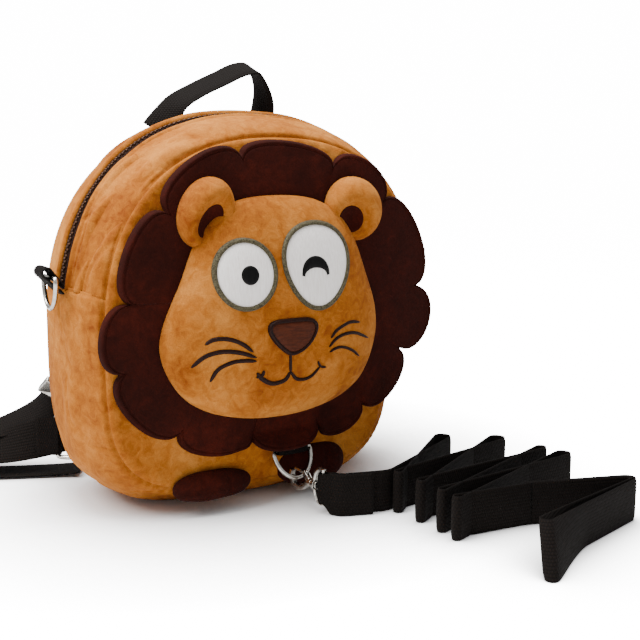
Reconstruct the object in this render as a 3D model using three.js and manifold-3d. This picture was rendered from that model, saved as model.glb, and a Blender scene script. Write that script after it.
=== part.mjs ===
// Toddler harness backpack with a plush animal face, built with three.js.
// Millimetres, +Z up. The face looks along -Y, +X is to the viewer's right, and the origin is
// on the floor at the middle of the bag's flat bottom.
import * as THREE from "three";
import { mergeVertices } from "three/addons/utils/BufferGeometryUtils.js";
import Module from "manifold-3d";

const wasm = await Module();
wasm.setup();

// Driving dimensions of the bag
const SEAM_HALF_WIDTH = 107;
const BAG_HALF_WIDTH = 120;
const SEAM_TOP = 215;
const BAG_TOP = 230;
const SEAM_BOTTOM = 13;
const BAG_MIDDLE = 105;
const BAG_DEPTH = 90;
const PLUSH_WALL = 2.5;
const FRONT_DOME = 8;
const BACK_DOME = 4;
const SIDE_SEAM_HEIGHT = 132;
const ZIPPER_BEHIND_FRONT = 36;
const ZIPPER_WIDTH = 7;
const ZIPPER_TAPE = 1.5;

// Driving dimensions of what is sewn on
const MANE_THICKNESS = 4;
const MANE_HALF_WIDTH = 118;
const MANE_HEIGHT = 183;
const MANE_BOTTOM = 32;
const FACE_HALF_WIDTH = 73;
const FACE_HEIGHT = 128;
const FACE_BOTTOM = 54.5;
const FACE_OFFSET = -7;
const FACE_PUFF = 17;
const FELT = 1.2;
const RIM_WIDTH = 2.6;
const EAR_PUFF = 11;
const EAR_HALF_WIDTH = 17;
const FOOT_LENGTH = 14;

// Driving dimensions of the webbing and the metal parts
const WEBBING_WIDTH = 25;
const WEBBING = 1.6;
const HANDLE_WIDTH = 20;
const HANDLE_RISE = 38;
const HANDLE_SPAN = 70;
const WIRE = 3;
const GAP = 0.3;
const SEAM_GAP = 0.5;

// Finishes
const finish = (color, roughness, metalness = 0) =>
  new THREE.MeshStandardMaterial({ color, roughness, metalness });
const TAN_PLUSH = finish(0xc98f4e, 0.95);
const BROWN_PLUSH = finish(0x3f1b0d, 0.95);
const WHITE_FELT = finish(0xd9d3d0, 0.9);
const RIM_THREAD = finish(0x6e6757, 0.6);
const BLACK_THREAD = finish(0x0a0808, 0.5);
const NOSE_THREAD = finish(0x4a2416, 0.6);
const BROWN_WEBBING = finish(0x251a14, 0.85);
const ZIPPER_TEXTILE = finish(0x3b2213, 0.7);
const NICKEL = finish(0xb9b6b0, 0.3, 1);
const BROWN_METAL = finish(0x4a3020, 0.5, 0.8);

const product = new THREE.Group();

function add(name, geometry, material, parent = product) {
  const mesh = new THREE.Mesh(geometry, material);
  mesh.name = name;
  parent.add(mesh);
  return mesh;
}

// A closed body from quads and triangles whose shared corners are given by number
function closedBody(points, faces) {
  const geometry = new THREE.BufferGeometry();
  geometry.setAttribute("position", new THREE.Float32BufferAttribute(points.flat(), 3));
  const index = [];
  for (const face of faces) {
    for (let k = 1; k + 1 < face.length; k += 1) index.push(face[0], face[k], face[k + 1]);
  }
  geometry.setIndex(index);
  return facingOut(geometry);
}

function facingOut(geometry) {
  const p = geometry.attributes.position;
  const index = geometry.index;
  let volume = 0;
  const [a, b, c] = [new THREE.Vector3(), new THREE.Vector3(), new THREE.Vector3()];
  for (let i = 0; i < index.count; i += 3) {
    a.fromBufferAttribute(p, index.getX(i));
    b.fromBufferAttribute(p, index.getX(i + 1));
    c.fromBufferAttribute(p, index.getX(i + 2));
    volume += a.dot(b.cross(c));
  }
  if (volume < 0) {
    for (let i = 0; i < index.count; i += 3) {
      const first = index.getX(i);
      index.setX(i, index.getX(i + 1));
      index.setX(i + 1, first);
    }
  }
  return geometry;
}

// A wall between two matching grids of points; a ring closes on itself along its rows
function wallBetween(outer, inner, ring = false) {
  const rows = outer.length;
  const columns = outer[0].length;
  const points = [...outer.flat(), ...inner.flat()];
  const outside = (i, j) => (i % rows) * columns + j;
  const inside = (i, j) => rows * columns + (i % rows) * columns + j;
  const faces = [];
  const lastRow = ring ? rows : rows - 1;
  for (let i = 0; i < lastRow; i += 1) {
    for (let j = 0; j + 1 < columns; j += 1) {
      faces.push([outside(i, j), outside(i + 1, j), outside(i + 1, j + 1), outside(i, j + 1)]);
      faces.push([inside(i, j), inside(i, j + 1), inside(i + 1, j + 1), inside(i + 1, j)]);
    }
    faces.push([outside(i, 0), inside(i, 0), inside(i + 1, 0), outside(i + 1, 0)]);
    const j = columns - 1;
    faces.push([outside(i, j), outside(i + 1, j), inside(i + 1, j), inside(i, j)]);
  }
  if (!ring) {
    for (let j = 0; j + 1 < columns; j += 1) {
      faces.push([outside(0, j), outside(0, j + 1), inside(0, j + 1), inside(0, j)]);
      const i = rows - 1;
      faces.push([outside(i, j), inside(i, j), inside(i, j + 1), outside(i, j + 1)]);
    }
  }
  return closedBody(points, faces);
}

// A pad between two surfaces over one outline, seen from the front: outline points are [x, z]
function padOver(outline, centre, shares, frontOf, backOf) {
  const count = outline.length;
  const points = [];
  const side = (depthOf) => {
    const start = points.length;
    points.push([centre[0], depthOf(centre[0], centre[1], 0), centre[1]]);
    for (const share of shares) {
      for (const [x, z] of outline) {
        const px = centre[0] + share * (x - centre[0]);
        const pz = centre[1] + share * (z - centre[1]);
        points.push([px, depthOf(px, pz, share), pz]);
      }
    }
    return start;
  };
  const front = side(frontOf);
  const back = side(backOf);
  const faces = [];
  for (let i = 0; i < count; i += 1) {
    const next = (i + 1) % count;
    faces.push([front, front + 1 + i, front + 1 + next]);
    faces.push([back, back + 1 + next, back + 1 + i]);
    for (let k = 0; k + 1 < shares.length; k += 1) {
      const [f, b] = [front + 1 + k * count, back + 1 + k * count];
      faces.push([f + i, f + count + i, f + count + next, f + next]);
      faces.push([b + i, b + next, b + count + next, b + count + i]);
    }
    const last = 1 + (shares.length - 1) * count;
    faces.push([front + last + i, back + last + i, back + last + next, front + last + next]);
  }
  return closedBody(points, faces);
}

// Joining and cutting of closed bodies
function solidOf(geometry, matrix = new THREE.Matrix4()) {
  const bare = geometry.clone().applyMatrix4(matrix);
  bare.deleteAttribute("normal");
  bare.deleteAttribute("uv");
  const merged = mergeVertices(bare, 1e-4);
  return new wasm.Manifold(new wasm.Mesh({
    numProp: 3,
    vertProperties: new Float32Array(merged.attributes.position.array),
    triVerts: new Uint32Array(merged.index.array),
  }));
}

function geometryOf(solid) {
  const mesh = solid.getMesh();
  const geometry = new THREE.BufferGeometry();
  geometry.setAttribute("position", new THREE.BufferAttribute(new Float32Array(mesh.vertProperties), 3));
  geometry.setIndex(new THREE.BufferAttribute(new Uint32Array(mesh.triVerts), 1));
  return geometry;
}

const rod = (radius, length, sides = 12) => new THREE.CylinderGeometry(radius, radius, length, sides);

// The bag's skin. Angles run round the outline from +X over the top, rows from the front seam (0)
// to the back seam (1). The inset moves the skin inward for the inner side of a wall.
const TOP_ROUNDNESS = 2.35;
const BOTTOM_ROUNDNESS = 4;
const SWELL = 0.62;
const FLAT_SINK = 1.5;
const TUCK = 0.2;
const TUCK_TOP = 135;
const TUCK_HEIGHT = 85;
const TUCK_ROW = 0.55;

const power = (value, roundness) => Math.sign(value) * Math.abs(value) ** (2 / roundness);

// The lower corner on the right is drawn in towards the front seam
function tuckAt(height, row) {
  const down = Math.min(Math.max((TUCK_TOP - height) / TUCK_HEIGHT, 0), 1);
  const forward = Math.min(Math.max(1 - row / TUCK_ROW, 0), 1);
  return TUCK * down * down * (3 - 2 * down) * forward;
}

function skin(angle, row, inset = 0) {
  const swell = Math.sin(Math.PI * Math.min(Math.max(row, 0), 1)) ** SWELL;
  const halfWidth = SEAM_HALF_WIDTH + (BAG_HALF_WIDTH - SEAM_HALF_WIDTH) * swell - inset;
  const top = SEAM_TOP + (BAG_TOP - SEAM_TOP) * swell - inset;
  const bottom = SEAM_BOTTOM - (SEAM_BOTTOM + FLAT_SINK) * swell + inset;
  const roundness = Math.sin(angle) >= 0 ? TOP_ROUNDNESS : BOTTOM_ROUNDNESS;
  const rise = power(Math.sin(angle), roundness);
  const height = BAG_MIDDLE + rise * (rise >= 0 ? top - BAG_MIDDLE : BAG_MIDDLE - bottom);
  const across = halfWidth * power(Math.cos(angle), roundness);
  return [
    across > 0 ? across * (1 - tuckAt(height, row)) : across,
    -BAG_DEPTH / 2 + BAG_DEPTH * row,
    Math.max(height, inset),
  ];
}

function skinPanel(fromAngle, toAngle, fromRow, toRow, steps, rows, wall = PLUSH_WALL, lift = 0) {
  const grid = (inset) => Array.from({ length: steps + 1 }, (_, i) => {
    const angle = fromAngle + (toAngle - fromAngle) * (i / steps);
    return Array.from({ length: rows + 1 }, (__, j) =>
      skin(angle, fromRow + (toRow - fromRow) * (j / rows), inset));
  });
  return wallBetween(grid(lift), grid(lift + wall));
}

// Flat webbing between its two edges, each a list of points
function ribbonBetween(lower, upper, thickness = WEBBING) {
  const count = lower.length;
  const at = (i) => new THREE.Vector3(...lower[i]).lerp(new THREE.Vector3(...upper[i]), 0.5);
  const near = (i) => at(Math.min(Math.max(i, 0), count - 1));
  const outer = [];
  const inner = [];
  for (let i = 0; i < count; i += 1) {
    const [low, high] = [new THREE.Vector3(...lower[i]), new THREE.Vector3(...upper[i])];
    const along = near(i + 1).sub(near(i - 1)).normalize();
    const out = new THREE.Vector3().crossVectors(along, high.clone().sub(low)).normalize();
    const before = near(i).sub(near(i - 1)).normalize();
    const after = near(i + 1).sub(near(i)).normalize();
    const bend = i === 0 || i === count - 1 ? 1 : Math.sqrt(Math.max(0, (1 + before.dot(after)) / 2));
    const half = thickness / 2 / Math.max(bend, 0.5);
    const edge = (end, side) => end.clone().addScaledVector(out, side * half).toArray();
    outer.push([edge(low, 1), edge(high, 1)]);
    inner.push([edge(low, -1), edge(high, -1)]);
  }
  return wallBetween(outer, inner);
}

// Flat webbing along its middle line, each point with the direction that its width lies in
function ribbon(points, widths, thickness = WEBBING, width = WEBBING_WIDTH) {
  const last = points.length - 1;
  const edge = (side) => points.map((p, i) => {
    const along = new THREE.Vector3(...points[Math.min(i + 1, last)])
      .sub(new THREE.Vector3(...points[Math.max(i - 1, 0)])).normalize();
    const across = new THREE.Vector3(...widths[i]);
    across.addScaledVector(along, -across.dot(along)).normalize();
    return new THREE.Vector3(...p).addScaledVector(across, side * width / 2).toArray();
  });
  return ribbonBetween(edge(-1), edge(1), thickness);
}

// Bag shell: zipped upper gusset in two strips, lower gusset, front panel and back panel
const sideShare = (SIDE_SEAM_HEIGHT - BAG_MIDDLE) / (BAG_TOP - BAG_MIDDLE);
const sideAngle = Math.asin(sideShare ** (TOP_ROUNDNESS / 2));
const seamTurn = SEAM_GAP / BAG_HALF_WIDTH;
const upperAngles = [sideAngle + seamTurn / 2, Math.PI - sideAngle - seamTurn / 2];
const lowerAngles = [Math.PI - sideAngle + seamTurn / 2, 2 * Math.PI + sideAngle - seamTurn / 2];
const zipperRow = ZIPPER_BEHIND_FRONT / BAG_DEPTH;
const halfZipper = ZIPPER_WIDTH / 2 / BAG_DEPTH;
const gapRow = SEAM_GAP / BAG_DEPTH;

add("gusset_front", skinPanel(...upperAngles, 0, zipperRow - halfZipper - gapRow, 28, 5), TAN_PLUSH);
add("gusset_rear", skinPanel(...upperAngles, zipperRow + halfZipper + gapRow, 1, 28, 6), TAN_PLUSH);
add("gusset_lower", skinPanel(...lowerAngles, 0, 1, 36, 8), TAN_PLUSH);
add("zipper_tape",
  skinPanel(...upperAngles, zipperRow - halfZipper, zipperRow + halfZipper, 28, 1, ZIPPER_TAPE, 0.5),
  ZIPPER_TEXTILE);

// Zip slider at the right end of the zipper: a bridge over the tape with a hanging pull
const SLIDER_WIDTH = 8;
const SLIDER_INSET = -(GAP + 1.4);
const sliderPath = [0.3, 0.34, 0.38].map((turn) => skin(sideAngle + turn, zipperRow, SLIDER_INSET));
const pullPath = [0.35, 0.27, 0.19, 0.13].map((turn) =>
  skin(sideAngle + turn, zipperRow, SLIDER_INSET - 2.2));
const zipBridge = solidOf(ribbon(sliderPath, sliderPath.map(() => [0, 1, 0]), 2.2, SLIDER_WIDTH));
const zipPull = solidOf(ribbon(pullPath, pullPath.map(() => [0, 1, 0]), 1.4, 5));
const zipHinge = solidOf(rod(1.5, 3, 8), new THREE.Matrix4().makeRotationZ(Math.PI / 2)
  .setPosition(...skin(sideAngle + 0.34, zipperRow, SLIDER_INSET - 1.4)));
add("zip_slider", geometryOf(zipBridge.add(zipPull).add(zipHinge)), BROWN_METAL);

const OUTLINE_STEPS = 48;
const panelOutline = Array.from({ length: OUTLINE_STEPS }, (_, i) => {
  const [x, , z] = skin((2 * Math.PI * (i + 0.5)) / OUTLINE_STEPS, 0);
  return [x, z];
});
const panelMiddle = [0, (SEAM_TOP + SEAM_BOTTOM) / 2];

// Share of the way from the middle of the panel to its outline, in squared form, under 1 inside
function panelShare(x, z) {
  const h = (z - panelMiddle[1]) / ((SEAM_TOP - SEAM_BOTTOM) / 2);
  return Math.min(1, (x / SEAM_HALF_WIDTH) ** 2 + h * h);
}

const SEAM_FRONT = BAG_DEPTH / 2 + GAP;
const domeAt = (x, z) => FRONT_DOME * (1 - panelShare(x, z));
const panelFront = (x, z) => -(SEAM_FRONT + PLUSH_WALL + domeAt(x, z));
const panelShares = [0.35, 0.65, 0.87, 1];
add("front_panel",
  padOver(panelOutline, panelMiddle, panelShares, panelFront, (x, z) => -(SEAM_FRONT + domeAt(x, z))),
  TAN_PLUSH);

const backOf = (x, z) => SEAM_FRONT + BACK_DOME * (1 - panelShare(x, z));
const backPanel = (x, z) => backOf(x, z) + PLUSH_WALL;
add("back_panel", padOver(panelOutline, panelMiddle, panelShares, backPanel, backOf), TAN_PLUSH);

// Mane: a scalloped pad on the front panel. Each row is the notch that a lobe starts from, as
// shares of the mane's half width and height, and how far the lobe bulges past its two notches.
const MANE_LOBES = [
  { across: 0.3, up: 0.91, bulge: 0.1 },
  { across: -0.23, up: 0.945, bulge: 0.13 },
  { across: -0.635, up: 0.78, bulge: 0.12 },
  { across: -0.825, up: 0.51, bulge: 0.125 },
  { across: -0.88, up: 0.3, bulge: 0.12 },
  { across: -0.585, up: 0.1, bulge: 0.115 },
  { across: -0.195, up: 0.06, bulge: 0.095 },
  { across: 0.2, up: 0.065, bulge: 0.115 },
  { across: 0.49, up: 0.11, bulge: 0.13 },
  { across: 0.735, up: 0.285, bulge: 0.16 },
  { across: 0.85, up: 0.5, bulge: 0.14 },
  { across: 0.63, up: 0.8, bulge: 0.13 },
];
const LOBE_STEPS = 6;

function maneOutline() {
  const at = (lobe) => [lobe.across * MANE_HALF_WIDTH, MANE_BOTTOM + lobe.up * MANE_HEIGHT];
  return MANE_LOBES.flatMap((lobe, i) => {
    const from = at(lobe);
    const to = at(MANE_LOBES[(i + 1) % MANE_LOBES.length]);
    const along = [to[0] - from[0], to[1] - from[1]];
    const length = Math.hypot(...along);
    const out = [along[1] / length, -along[0] / length];
    return Array.from({ length: LOBE_STEPS }, (_, k) => {
      const turn = Math.PI * (k / LOBE_STEPS);
      const share = (1 - Math.cos(turn)) / 2;
      const reach = lobe.bulge * MANE_HALF_WIDTH * Math.sin(turn) ** 0.8;
      return [from[0] + share * along[0] + reach * out[0], from[1] + share * along[1] + reach * out[1]];
    });
  });
}

const RING_BAR_HEIGHT = 31;
const TAB_LIFT = 8;
const TAB_LIFT_HALF_WIDTH = 30;
const TAB_LIFT_HEIGHT = 14;

// The lowest lobe stands off the panel over the tab that the front ring hangs from
function tabLift(x, z) {
  const across = Math.max(0, 1 - (x / TAB_LIFT_HALF_WIDTH) ** 4);
  const down = Math.min(Math.max((RING_BAR_HEIGHT + TAB_LIFT_HEIGHT - z) / (TAB_LIFT_HEIGHT - 4), 0), 1);
  return TAB_LIFT * across * down;
}

const MANE_GAP = 0.9;
const maneBack = (x, z) => panelFront(x, z) - MANE_GAP - tabLift(x, z);
const maneFront = (x, z, share) => maneBack(x, z) - MANE_THICKNESS * (share < 1 ? 1 : 0.6);
const maneMiddle = [0, MANE_BOTTOM + MANE_HEIGHT / 2];
const maneGeometry = padOver(maneOutline(), maneMiddle, [0.4, 0.7, 0.85, 0.96, 1], maneFront, maneBack);

// Face: a stuffed pad on the mane. Each row is a height share and the half width there.
const FACE_ROWS = [
  { up: 1, half: 0.12 },
  { up: 0.985, half: 0.32 },
  { up: 0.95, half: 0.47 },
  { up: 0.88, half: 0.62 },
  { up: 0.78, half: 0.73 },
  { up: 0.64, half: 0.83 },
  { up: 0.5, half: 0.945 },
  { up: 0.39, half: 1 },
  { up: 0.3, half: 0.985 },
  { up: 0.2, half: 0.905 },
  { up: 0.11, half: 0.77 },
  { up: 0.04, half: 0.54 },
  { up: 0, half: 0.2 },
];
const faceSide = (side) => FACE_ROWS.map((row) => [
  FACE_OFFSET + side * row.half * FACE_HALF_WIDTH,
  FACE_BOTTOM + row.up * FACE_HEIGHT,
]);
const faceOutline = [...faceSide(-1), ...faceSide(1).reverse()];
const faceMiddle = [FACE_OFFSET, FACE_BOTTOM + 0.45 * FACE_HEIGHT];
const maneSurface = (x, z) => maneBack(x, z) - MANE_THICKNESS;

// How far out a point is, from 0 at the face's middle to 1 at its outline
function faceShare(x, z) {
  const [dx, dz] = [x - faceMiddle[0], z - faceMiddle[1]];
  for (let i = 0; i < faceOutline.length; i += 1) {
    const a = faceOutline[i];
    const b = faceOutline[(i + 1) % faceOutline.length];
    const [ax, az, bx, bz] = [a[0] - faceMiddle[0], a[1] - faceMiddle[1], b[0] - faceMiddle[0], b[1] - faceMiddle[1]];
    const cross = ax * bz - az * bx;
    const s = (dx * bz - dz * bx) / cross;
    const t = (ax * dz - az * dx) / cross;
    if (s >= 0 && t >= 0) return s + t;
  }
  return 0;
}

const puffAt = (share) => FACE_PUFF * Math.max(0, 1 - Math.min(share, 1) ** 3.2) ** 0.6;
const faceFront = (x, z) => maneSurface(x, z) - GAP - 1.5 - puffAt(faceShare(x, z));
const faceBack = (x, z) => maneSurface(x, z) - GAP;
const faceShares = [0.3, 0.55, 0.75, 0.87, 0.95, 1];
const faceGeometry = padOver(faceOutline, faceMiddle, faceShares,
  (x, z, share) => maneSurface(x, z) - GAP - 1.5 - puffAt(share), faceBack);
add("face", faceGeometry, TAN_PLUSH);

// Felt and thread pieces on the face follow its surface
function ellipse(middle, halfWidth, halfHeight, steps = 20) {
  return Array.from({ length: steps }, (_, i) => {
    const turn = (2 * Math.PI * i) / steps;
    return [middle[0] + halfWidth * Math.cos(turn), middle[1] + halfHeight * Math.sin(turn)];
  });
}

function onFace(outline, middle, lift, thickness) {
  const depth = (extra) => (x, z) => faceFront(x, z) - lift - extra;
  return padOver(outline, middle, [0.5, 1], depth(thickness), depth(0));
}

function ringOnFace(middle, halfWidth, halfHeight, width, lift, thickness, steps = 20) {
  const grid = (extra) => Array.from({ length: steps }, (_, i) => {
    const turn = (2 * Math.PI * i) / steps;
    return [0, width].map((grow) => {
      const x = middle[0] + (halfWidth + grow) * Math.cos(turn);
      const z = middle[1] + (halfHeight + grow) * Math.sin(turn);
      return [x, faceFront(x, z) - lift - extra, z];
    });
  });
  return wallBetween(grid(thickness), grid(0), true);
}

const faceAt = (across, up) => [FACE_OFFSET + across * FACE_HALF_WIDTH, FACE_BOTTOM + up * FACE_HEIGHT];
const EYES = {
  left: { across: -0.403, up: 0.682, halfWidth: 0.225, halfHeight: 0.139 },
  right: { across: 0.21, up: 0.697, halfWidth: 0.285, halfHeight: 0.183 },
};
const FELT_LIFT = 0.8;
const eyeSize = (eye) => [eye.halfWidth * FACE_HALF_WIDTH, eye.halfHeight * FACE_HEIGHT];
for (const [side, eye] of Object.entries(EYES)) {
  const middle = faceAt(eye.across, eye.up);
  const [halfWidth, halfHeight] = eyeSize(eye);
  add(`eye_white_${side}`,
    onFace(ellipse(middle, halfWidth, halfHeight), middle, FELT_LIFT, FELT), WHITE_FELT);
  add(`eye_rim_${side}`,
    ringOnFace(middle, halfWidth + GAP, halfHeight + GAP, RIM_WIDTH, FELT_LIFT, FELT), RIM_THREAD);
}

const PUPIL_RADIUS = 5.8;
const pupilMiddle = faceAt(EYES.left.across + 0.023, EYES.left.up - 0.01);
const overFelt = FELT_LIFT + FELT + GAP + 0.3;
add("pupil_left",
  onFace(ellipse(pupilMiddle, PUPIL_RADIUS, PUPIL_RADIUS, 16), pupilMiddle, overFelt, FELT), BLACK_THREAD);

const WINK_HALF_WIDTH = 9.5;
const WINK_RISE = 11.5;
const WINK_BAND = 7;
const winkMiddle = faceAt(EYES.right.across - 0.044, EYES.right.up - 0.045);
function winkGeometry(steps = 10) {
  const grid = (extra) => Array.from({ length: steps + 1 }, (_, i) => {
    const turn = Math.PI * (i / steps);
    const band = 0.8 + (WINK_BAND - 0.8) * Math.sin(turn);
    return [band, 0].map((inward) => {
      const x = winkMiddle[0] + (WINK_HALF_WIDTH - inward * 0.35) * Math.cos(turn);
      const z = winkMiddle[1] + WINK_RISE * Math.sin(turn) - inward * (0.3 + 0.7 * Math.sin(turn));
      return [x, faceFront(x, z) - overFelt - extra, z];
    });
  });
  return wallBetween(grid(FELT), grid(0));
}
add("wink_right", winkGeometry(), BLACK_THREAD);

// Nose: a rounded triangle, point down
const NOSE_HALF_WIDTH = 15.5;
const NOSE_HEIGHT = 17;
const noseMiddle = faceAt(-0.02, 0.4);
const NOSE_ROWS = [
  { across: 0, up: -0.62 },
  { across: 0.45, up: -0.4 },
  { across: 0.85, up: -0.02 },
  { across: 1, up: 0.25 },
  { across: 0.82, up: 0.42 },
  { across: 0.3, up: 0.45 },
  { across: -0.3, up: 0.45 },
  { across: -0.82, up: 0.42 },
  { across: -1, up: 0.25 },
  { across: -0.85, up: -0.02 },
  { across: -0.45, up: -0.4 },
];
const noseOutline = NOSE_ROWS.map((row) =>
  [noseMiddle[0] + row.across * NOSE_HALF_WIDTH, noseMiddle[1] + row.up * NOSE_HEIGHT]);
add("nose", onFace(noseOutline, noseMiddle, FELT_LIFT, FELT), NOSE_THREAD);

// Ears: small stuffed lobes on the mane, each with a brown patch, trimmed where the face covers them
const EARS = {
  left: { across: -0.6, up: 0.93, tilt: -0.5, patchAcross: -1, patchUp: -4 },
  right: { across: 0.8, up: 0.9, tilt: 0.3, patchAcross: -9.5, patchUp: -1 },
};
const EAR_LENGTH = 21;
const PATCH_HALF_WIDTH = 7;
const PATCH_LENGTH = 9.5;
const faceClearance = solidOf(padOver(
  faceOutline.map(([x, z]) => [
    faceMiddle[0] + (x - faceMiddle[0]) * (1 + GAP / 40),
    faceMiddle[1] + (z - faceMiddle[1]) * (1 + GAP / 40),
  ]),
  faceMiddle, faceShares,
  (x, z, share) => maneSurface(x, z) - GAP - 1.5 - puffAt(share) - GAP,
  (x, z) => maneSurface(x, z) + 1));

const turnedEllipse = (middle, halfWidth, length, tilt, steps) =>
  ellipse([0, 0], halfWidth, length, steps).map(([x, z]) => [
    middle[0] + x * Math.cos(tilt) - z * Math.sin(tilt),
    middle[1] + x * Math.sin(tilt) + z * Math.cos(tilt),
  ]);

for (const [side, ear] of Object.entries(EARS)) {
  const middle = faceAt(ear.across, ear.up);
  const outline = turnedEllipse(middle, EAR_HALF_WIDTH, EAR_LENGTH, ear.tilt, 18);
  const earBack = (x, z) => maneSurface(x, z) - GAP;
  const earFront = (x, z, share) => earBack(x, z) - 1 - EAR_PUFF * Math.sqrt(Math.max(0, 1 - share ** 3));
  const reach = (x, z) => {
    const [dx, dz] = [x - middle[0], z - middle[1]];
    const [u, w] = [dx * Math.cos(ear.tilt) + dz * Math.sin(ear.tilt), dz * Math.cos(ear.tilt) - dx * Math.sin(ear.tilt)];
    return Math.min(1, Math.hypot(u / EAR_HALF_WIDTH, w / EAR_LENGTH));
  };
  const lobe = solidOf(padOver(outline, middle, [0.4, 0.7, 0.9, 1], earFront, earBack)).subtract(faceClearance);
  add(`ear_${side}`, geometryOf(lobe), TAN_PLUSH);
  const patchMiddle = [middle[0] + ear.patchAcross, middle[1] + ear.patchUp];
  const patch = turnedEllipse(patchMiddle, PATCH_HALF_WIDTH, PATCH_LENGTH, ear.tilt, 12);
  const over = (extra) => (x, z) => earFront(x, z, reach(x, z)) - FELT_LIFT - extra;
  const inner = solidOf(padOver(patch, patchMiddle, [0.5, 1], over(FELT), over(0))).subtract(faceClearance);
  add(`inner_ear_${side}`, geometryOf(inner), BROWN_PLUSH);
}

// Feet: two stuffed paws sewn on at the bottom of the front panel
const FEET = {
  left: { x: -46, y: -53, low: 8, width: 50, height: 17 },
  right: { x: 30, y: -50, low: 10, width: 34, height: 21 },
};
const FOOT_ROWS = [
  { along: -1, half: 0.6 },
  { along: -0.8, half: 0.85 },
  { along: -0.3, half: 1 },
  { along: 0.5, half: 1 },
  { along: 1, half: 0.9 },
];
const FOOT_ROUNDNESS = 2.6;
function footGeometry(foot) {
  const steps = 16;
  const rings = FOOT_ROWS.map((row) => Array.from({ length: steps }, (_, i) => {
    const turn = (2 * Math.PI * i) / steps;
    return [
      foot.x + (foot.width / 2) * row.half * power(Math.cos(turn), FOOT_ROUNDNESS),
      foot.y + (FOOT_LENGTH / 2) * row.along,
      foot.low + (foot.height / 2) * (1 + row.half * power(Math.sin(turn), FOOT_ROUNDNESS)),
    ];
  }));
  const faces = [];
  for (let r = 0; r + 1 < rings.length; r += 1) {
    for (let i = 0; i < steps; i += 1) {
      const next = (i + 1) % steps;
      faces.push([r * steps + i, r * steps + next, (r + 1) * steps + next, (r + 1) * steps + i]);
    }
  }
  faces.push(Array.from({ length: steps }, (_, i) => steps - 1 - i));
  faces.push(Array.from({ length: steps }, (_, i) => (rings.length - 1) * steps + i));
  return closedBody(rings.flat(), faces);
}

// The bag as one filled body, a little larger, to trim what is sewn against it
const CLEARANCE = 0.6;
const bagClearance = (() => {
  const [rows, steps] = [14, 64];
  const points = [];
  for (let j = 0; j <= rows; j += 1) {
    for (let i = 0; i < steps; i += 1) points.push(skin((2 * Math.PI * i) / steps, j / rows, -CLEARANCE));
  }
  const frontCover = PLUSH_WALL + 2 * GAP;
  for (let i = 0; i < steps; i += 1) points[i][1] -= frontCover;
  points.push([0, -BAG_DEPTH / 2 - frontCover, BAG_MIDDLE], [0, BAG_DEPTH / 2, BAG_MIDDLE]);
  const [front, back] = [points.length - 2, points.length - 1];
  const faces = [];
  for (let i = 0; i < steps; i += 1) {
    const next = (i + 1) % steps;
    for (let j = 0; j < rows; j += 1) {
      faces.push([j * steps + i, j * steps + next, (j + 1) * steps + next, (j + 1) * steps + i]);
    }
    faces.push([front, next, i]);
    faces.push([back, rows * steps + i, rows * steps + next]);
  }
  return solidOf(closedBody(points, faces));
})();

// The room that the front tab and its ring take up
const tabClearance = wasm.Manifold.cube([40, 30, 60]).translate([-20.2, -79.5, 0])
  .add(wasm.Manifold.cube([25, 40, 30]).translate([-8, -80, 26]));
const frontClearance = solidOf(padOver(
  panelOutline.map(([x, z]) => [x * 1.01, panelMiddle[1] + (z - panelMiddle[1]) * 1.01]),
  panelMiddle, panelShares, (x, z) => panelFront(x, z) - CLEARANCE, () => -BAG_DEPTH / 2 + 1));

for (const [side, foot] of Object.entries(FEET)) {
  const paw = solidOf(footGeometry(foot)).subtract(bagClearance).subtract(frontClearance).subtract(tabClearance);
  add(`foot_${side}`, geometryOf(paw), BROWN_PLUSH);
}

// A path in plan that wraps round pegs as a belt does, turning left (1) or right (-1) at each
function beltPath(start, pegs, end, stepAngle = 0.55) {
  const stops = [{ x: start[0], y: start[1], r: 0, turn: 1 }, ...pegs, { x: end[0], y: end[1], r: 0, turn: 1 }];
  const headings = stops.slice(1).map((b, i) => {
    const a = stops[i];
    const distance = Math.hypot(b.x - a.x, b.y - a.y);
    return Math.atan2(b.y - a.y, b.x - a.x) + Math.asin((a.turn * a.r - b.turn * b.r) / distance);
  });
  const path = [start];
  pegs.forEach((peg, i) => {
    const from = headings[i];
    let sweep = headings[i + 1] - from;
    while (peg.turn * sweep < 0) sweep += peg.turn * 2 * Math.PI;
    while (peg.turn * sweep >= 2 * Math.PI) sweep -= peg.turn * 2 * Math.PI;
    const steps = Math.max(1, Math.ceil(Math.abs(sweep) / stepAngle));
    for (let k = 0; k <= steps; k += 1) {
      const heading = from + (sweep * k) / steps;
      path.push([
        peg.x + peg.turn * peg.r * Math.sin(heading),
        peg.y - peg.turn * peg.r * Math.cos(heading),
      ]);
    }
  });
  path.push(end);
  return path;
}

// Wire bent into a closed flat loop, with a round section of a few sides
function wireLoop(points, wire = WIRE, sides = 6) {
  const count = points.length;
  const at = (i) => new THREE.Vector3(...points[(i + count) % count]);
  const middle = points.reduce((sum, p) => sum.add(new THREE.Vector3(...p)), new THREE.Vector3())
    .divideScalar(count);
  const normal = new THREE.Vector3();
  for (let i = 0; i < count; i += 1) {
    normal.add(new THREE.Vector3().crossVectors(at(i).sub(middle), at(i + 1).sub(middle)));
  }
  normal.normalize();
  const body = [];
  const faces = [];
  for (let i = 0; i < count; i += 1) {
    const along = at(i + 1).sub(at(i - 1)).normalize();
    const side = new THREE.Vector3().crossVectors(along, normal).normalize();
    for (let k = 0; k < sides; k += 1) {
      const turn = (2 * Math.PI * (k + 0.5)) / sides;
      body.push(at(i).addScaledVector(side, (wire / 2) * Math.cos(turn))
        .addScaledVector(normal, (wire / 2) * Math.sin(turn)).toArray());
      const [next, over] = [(i + 1) % count, (k + 1) % sides];
      faces.push([i * sides + k, next * sides + k, next * sides + over, i * sides + over]);
    }
  }
  return closedBody(body, faces);
}

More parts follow.
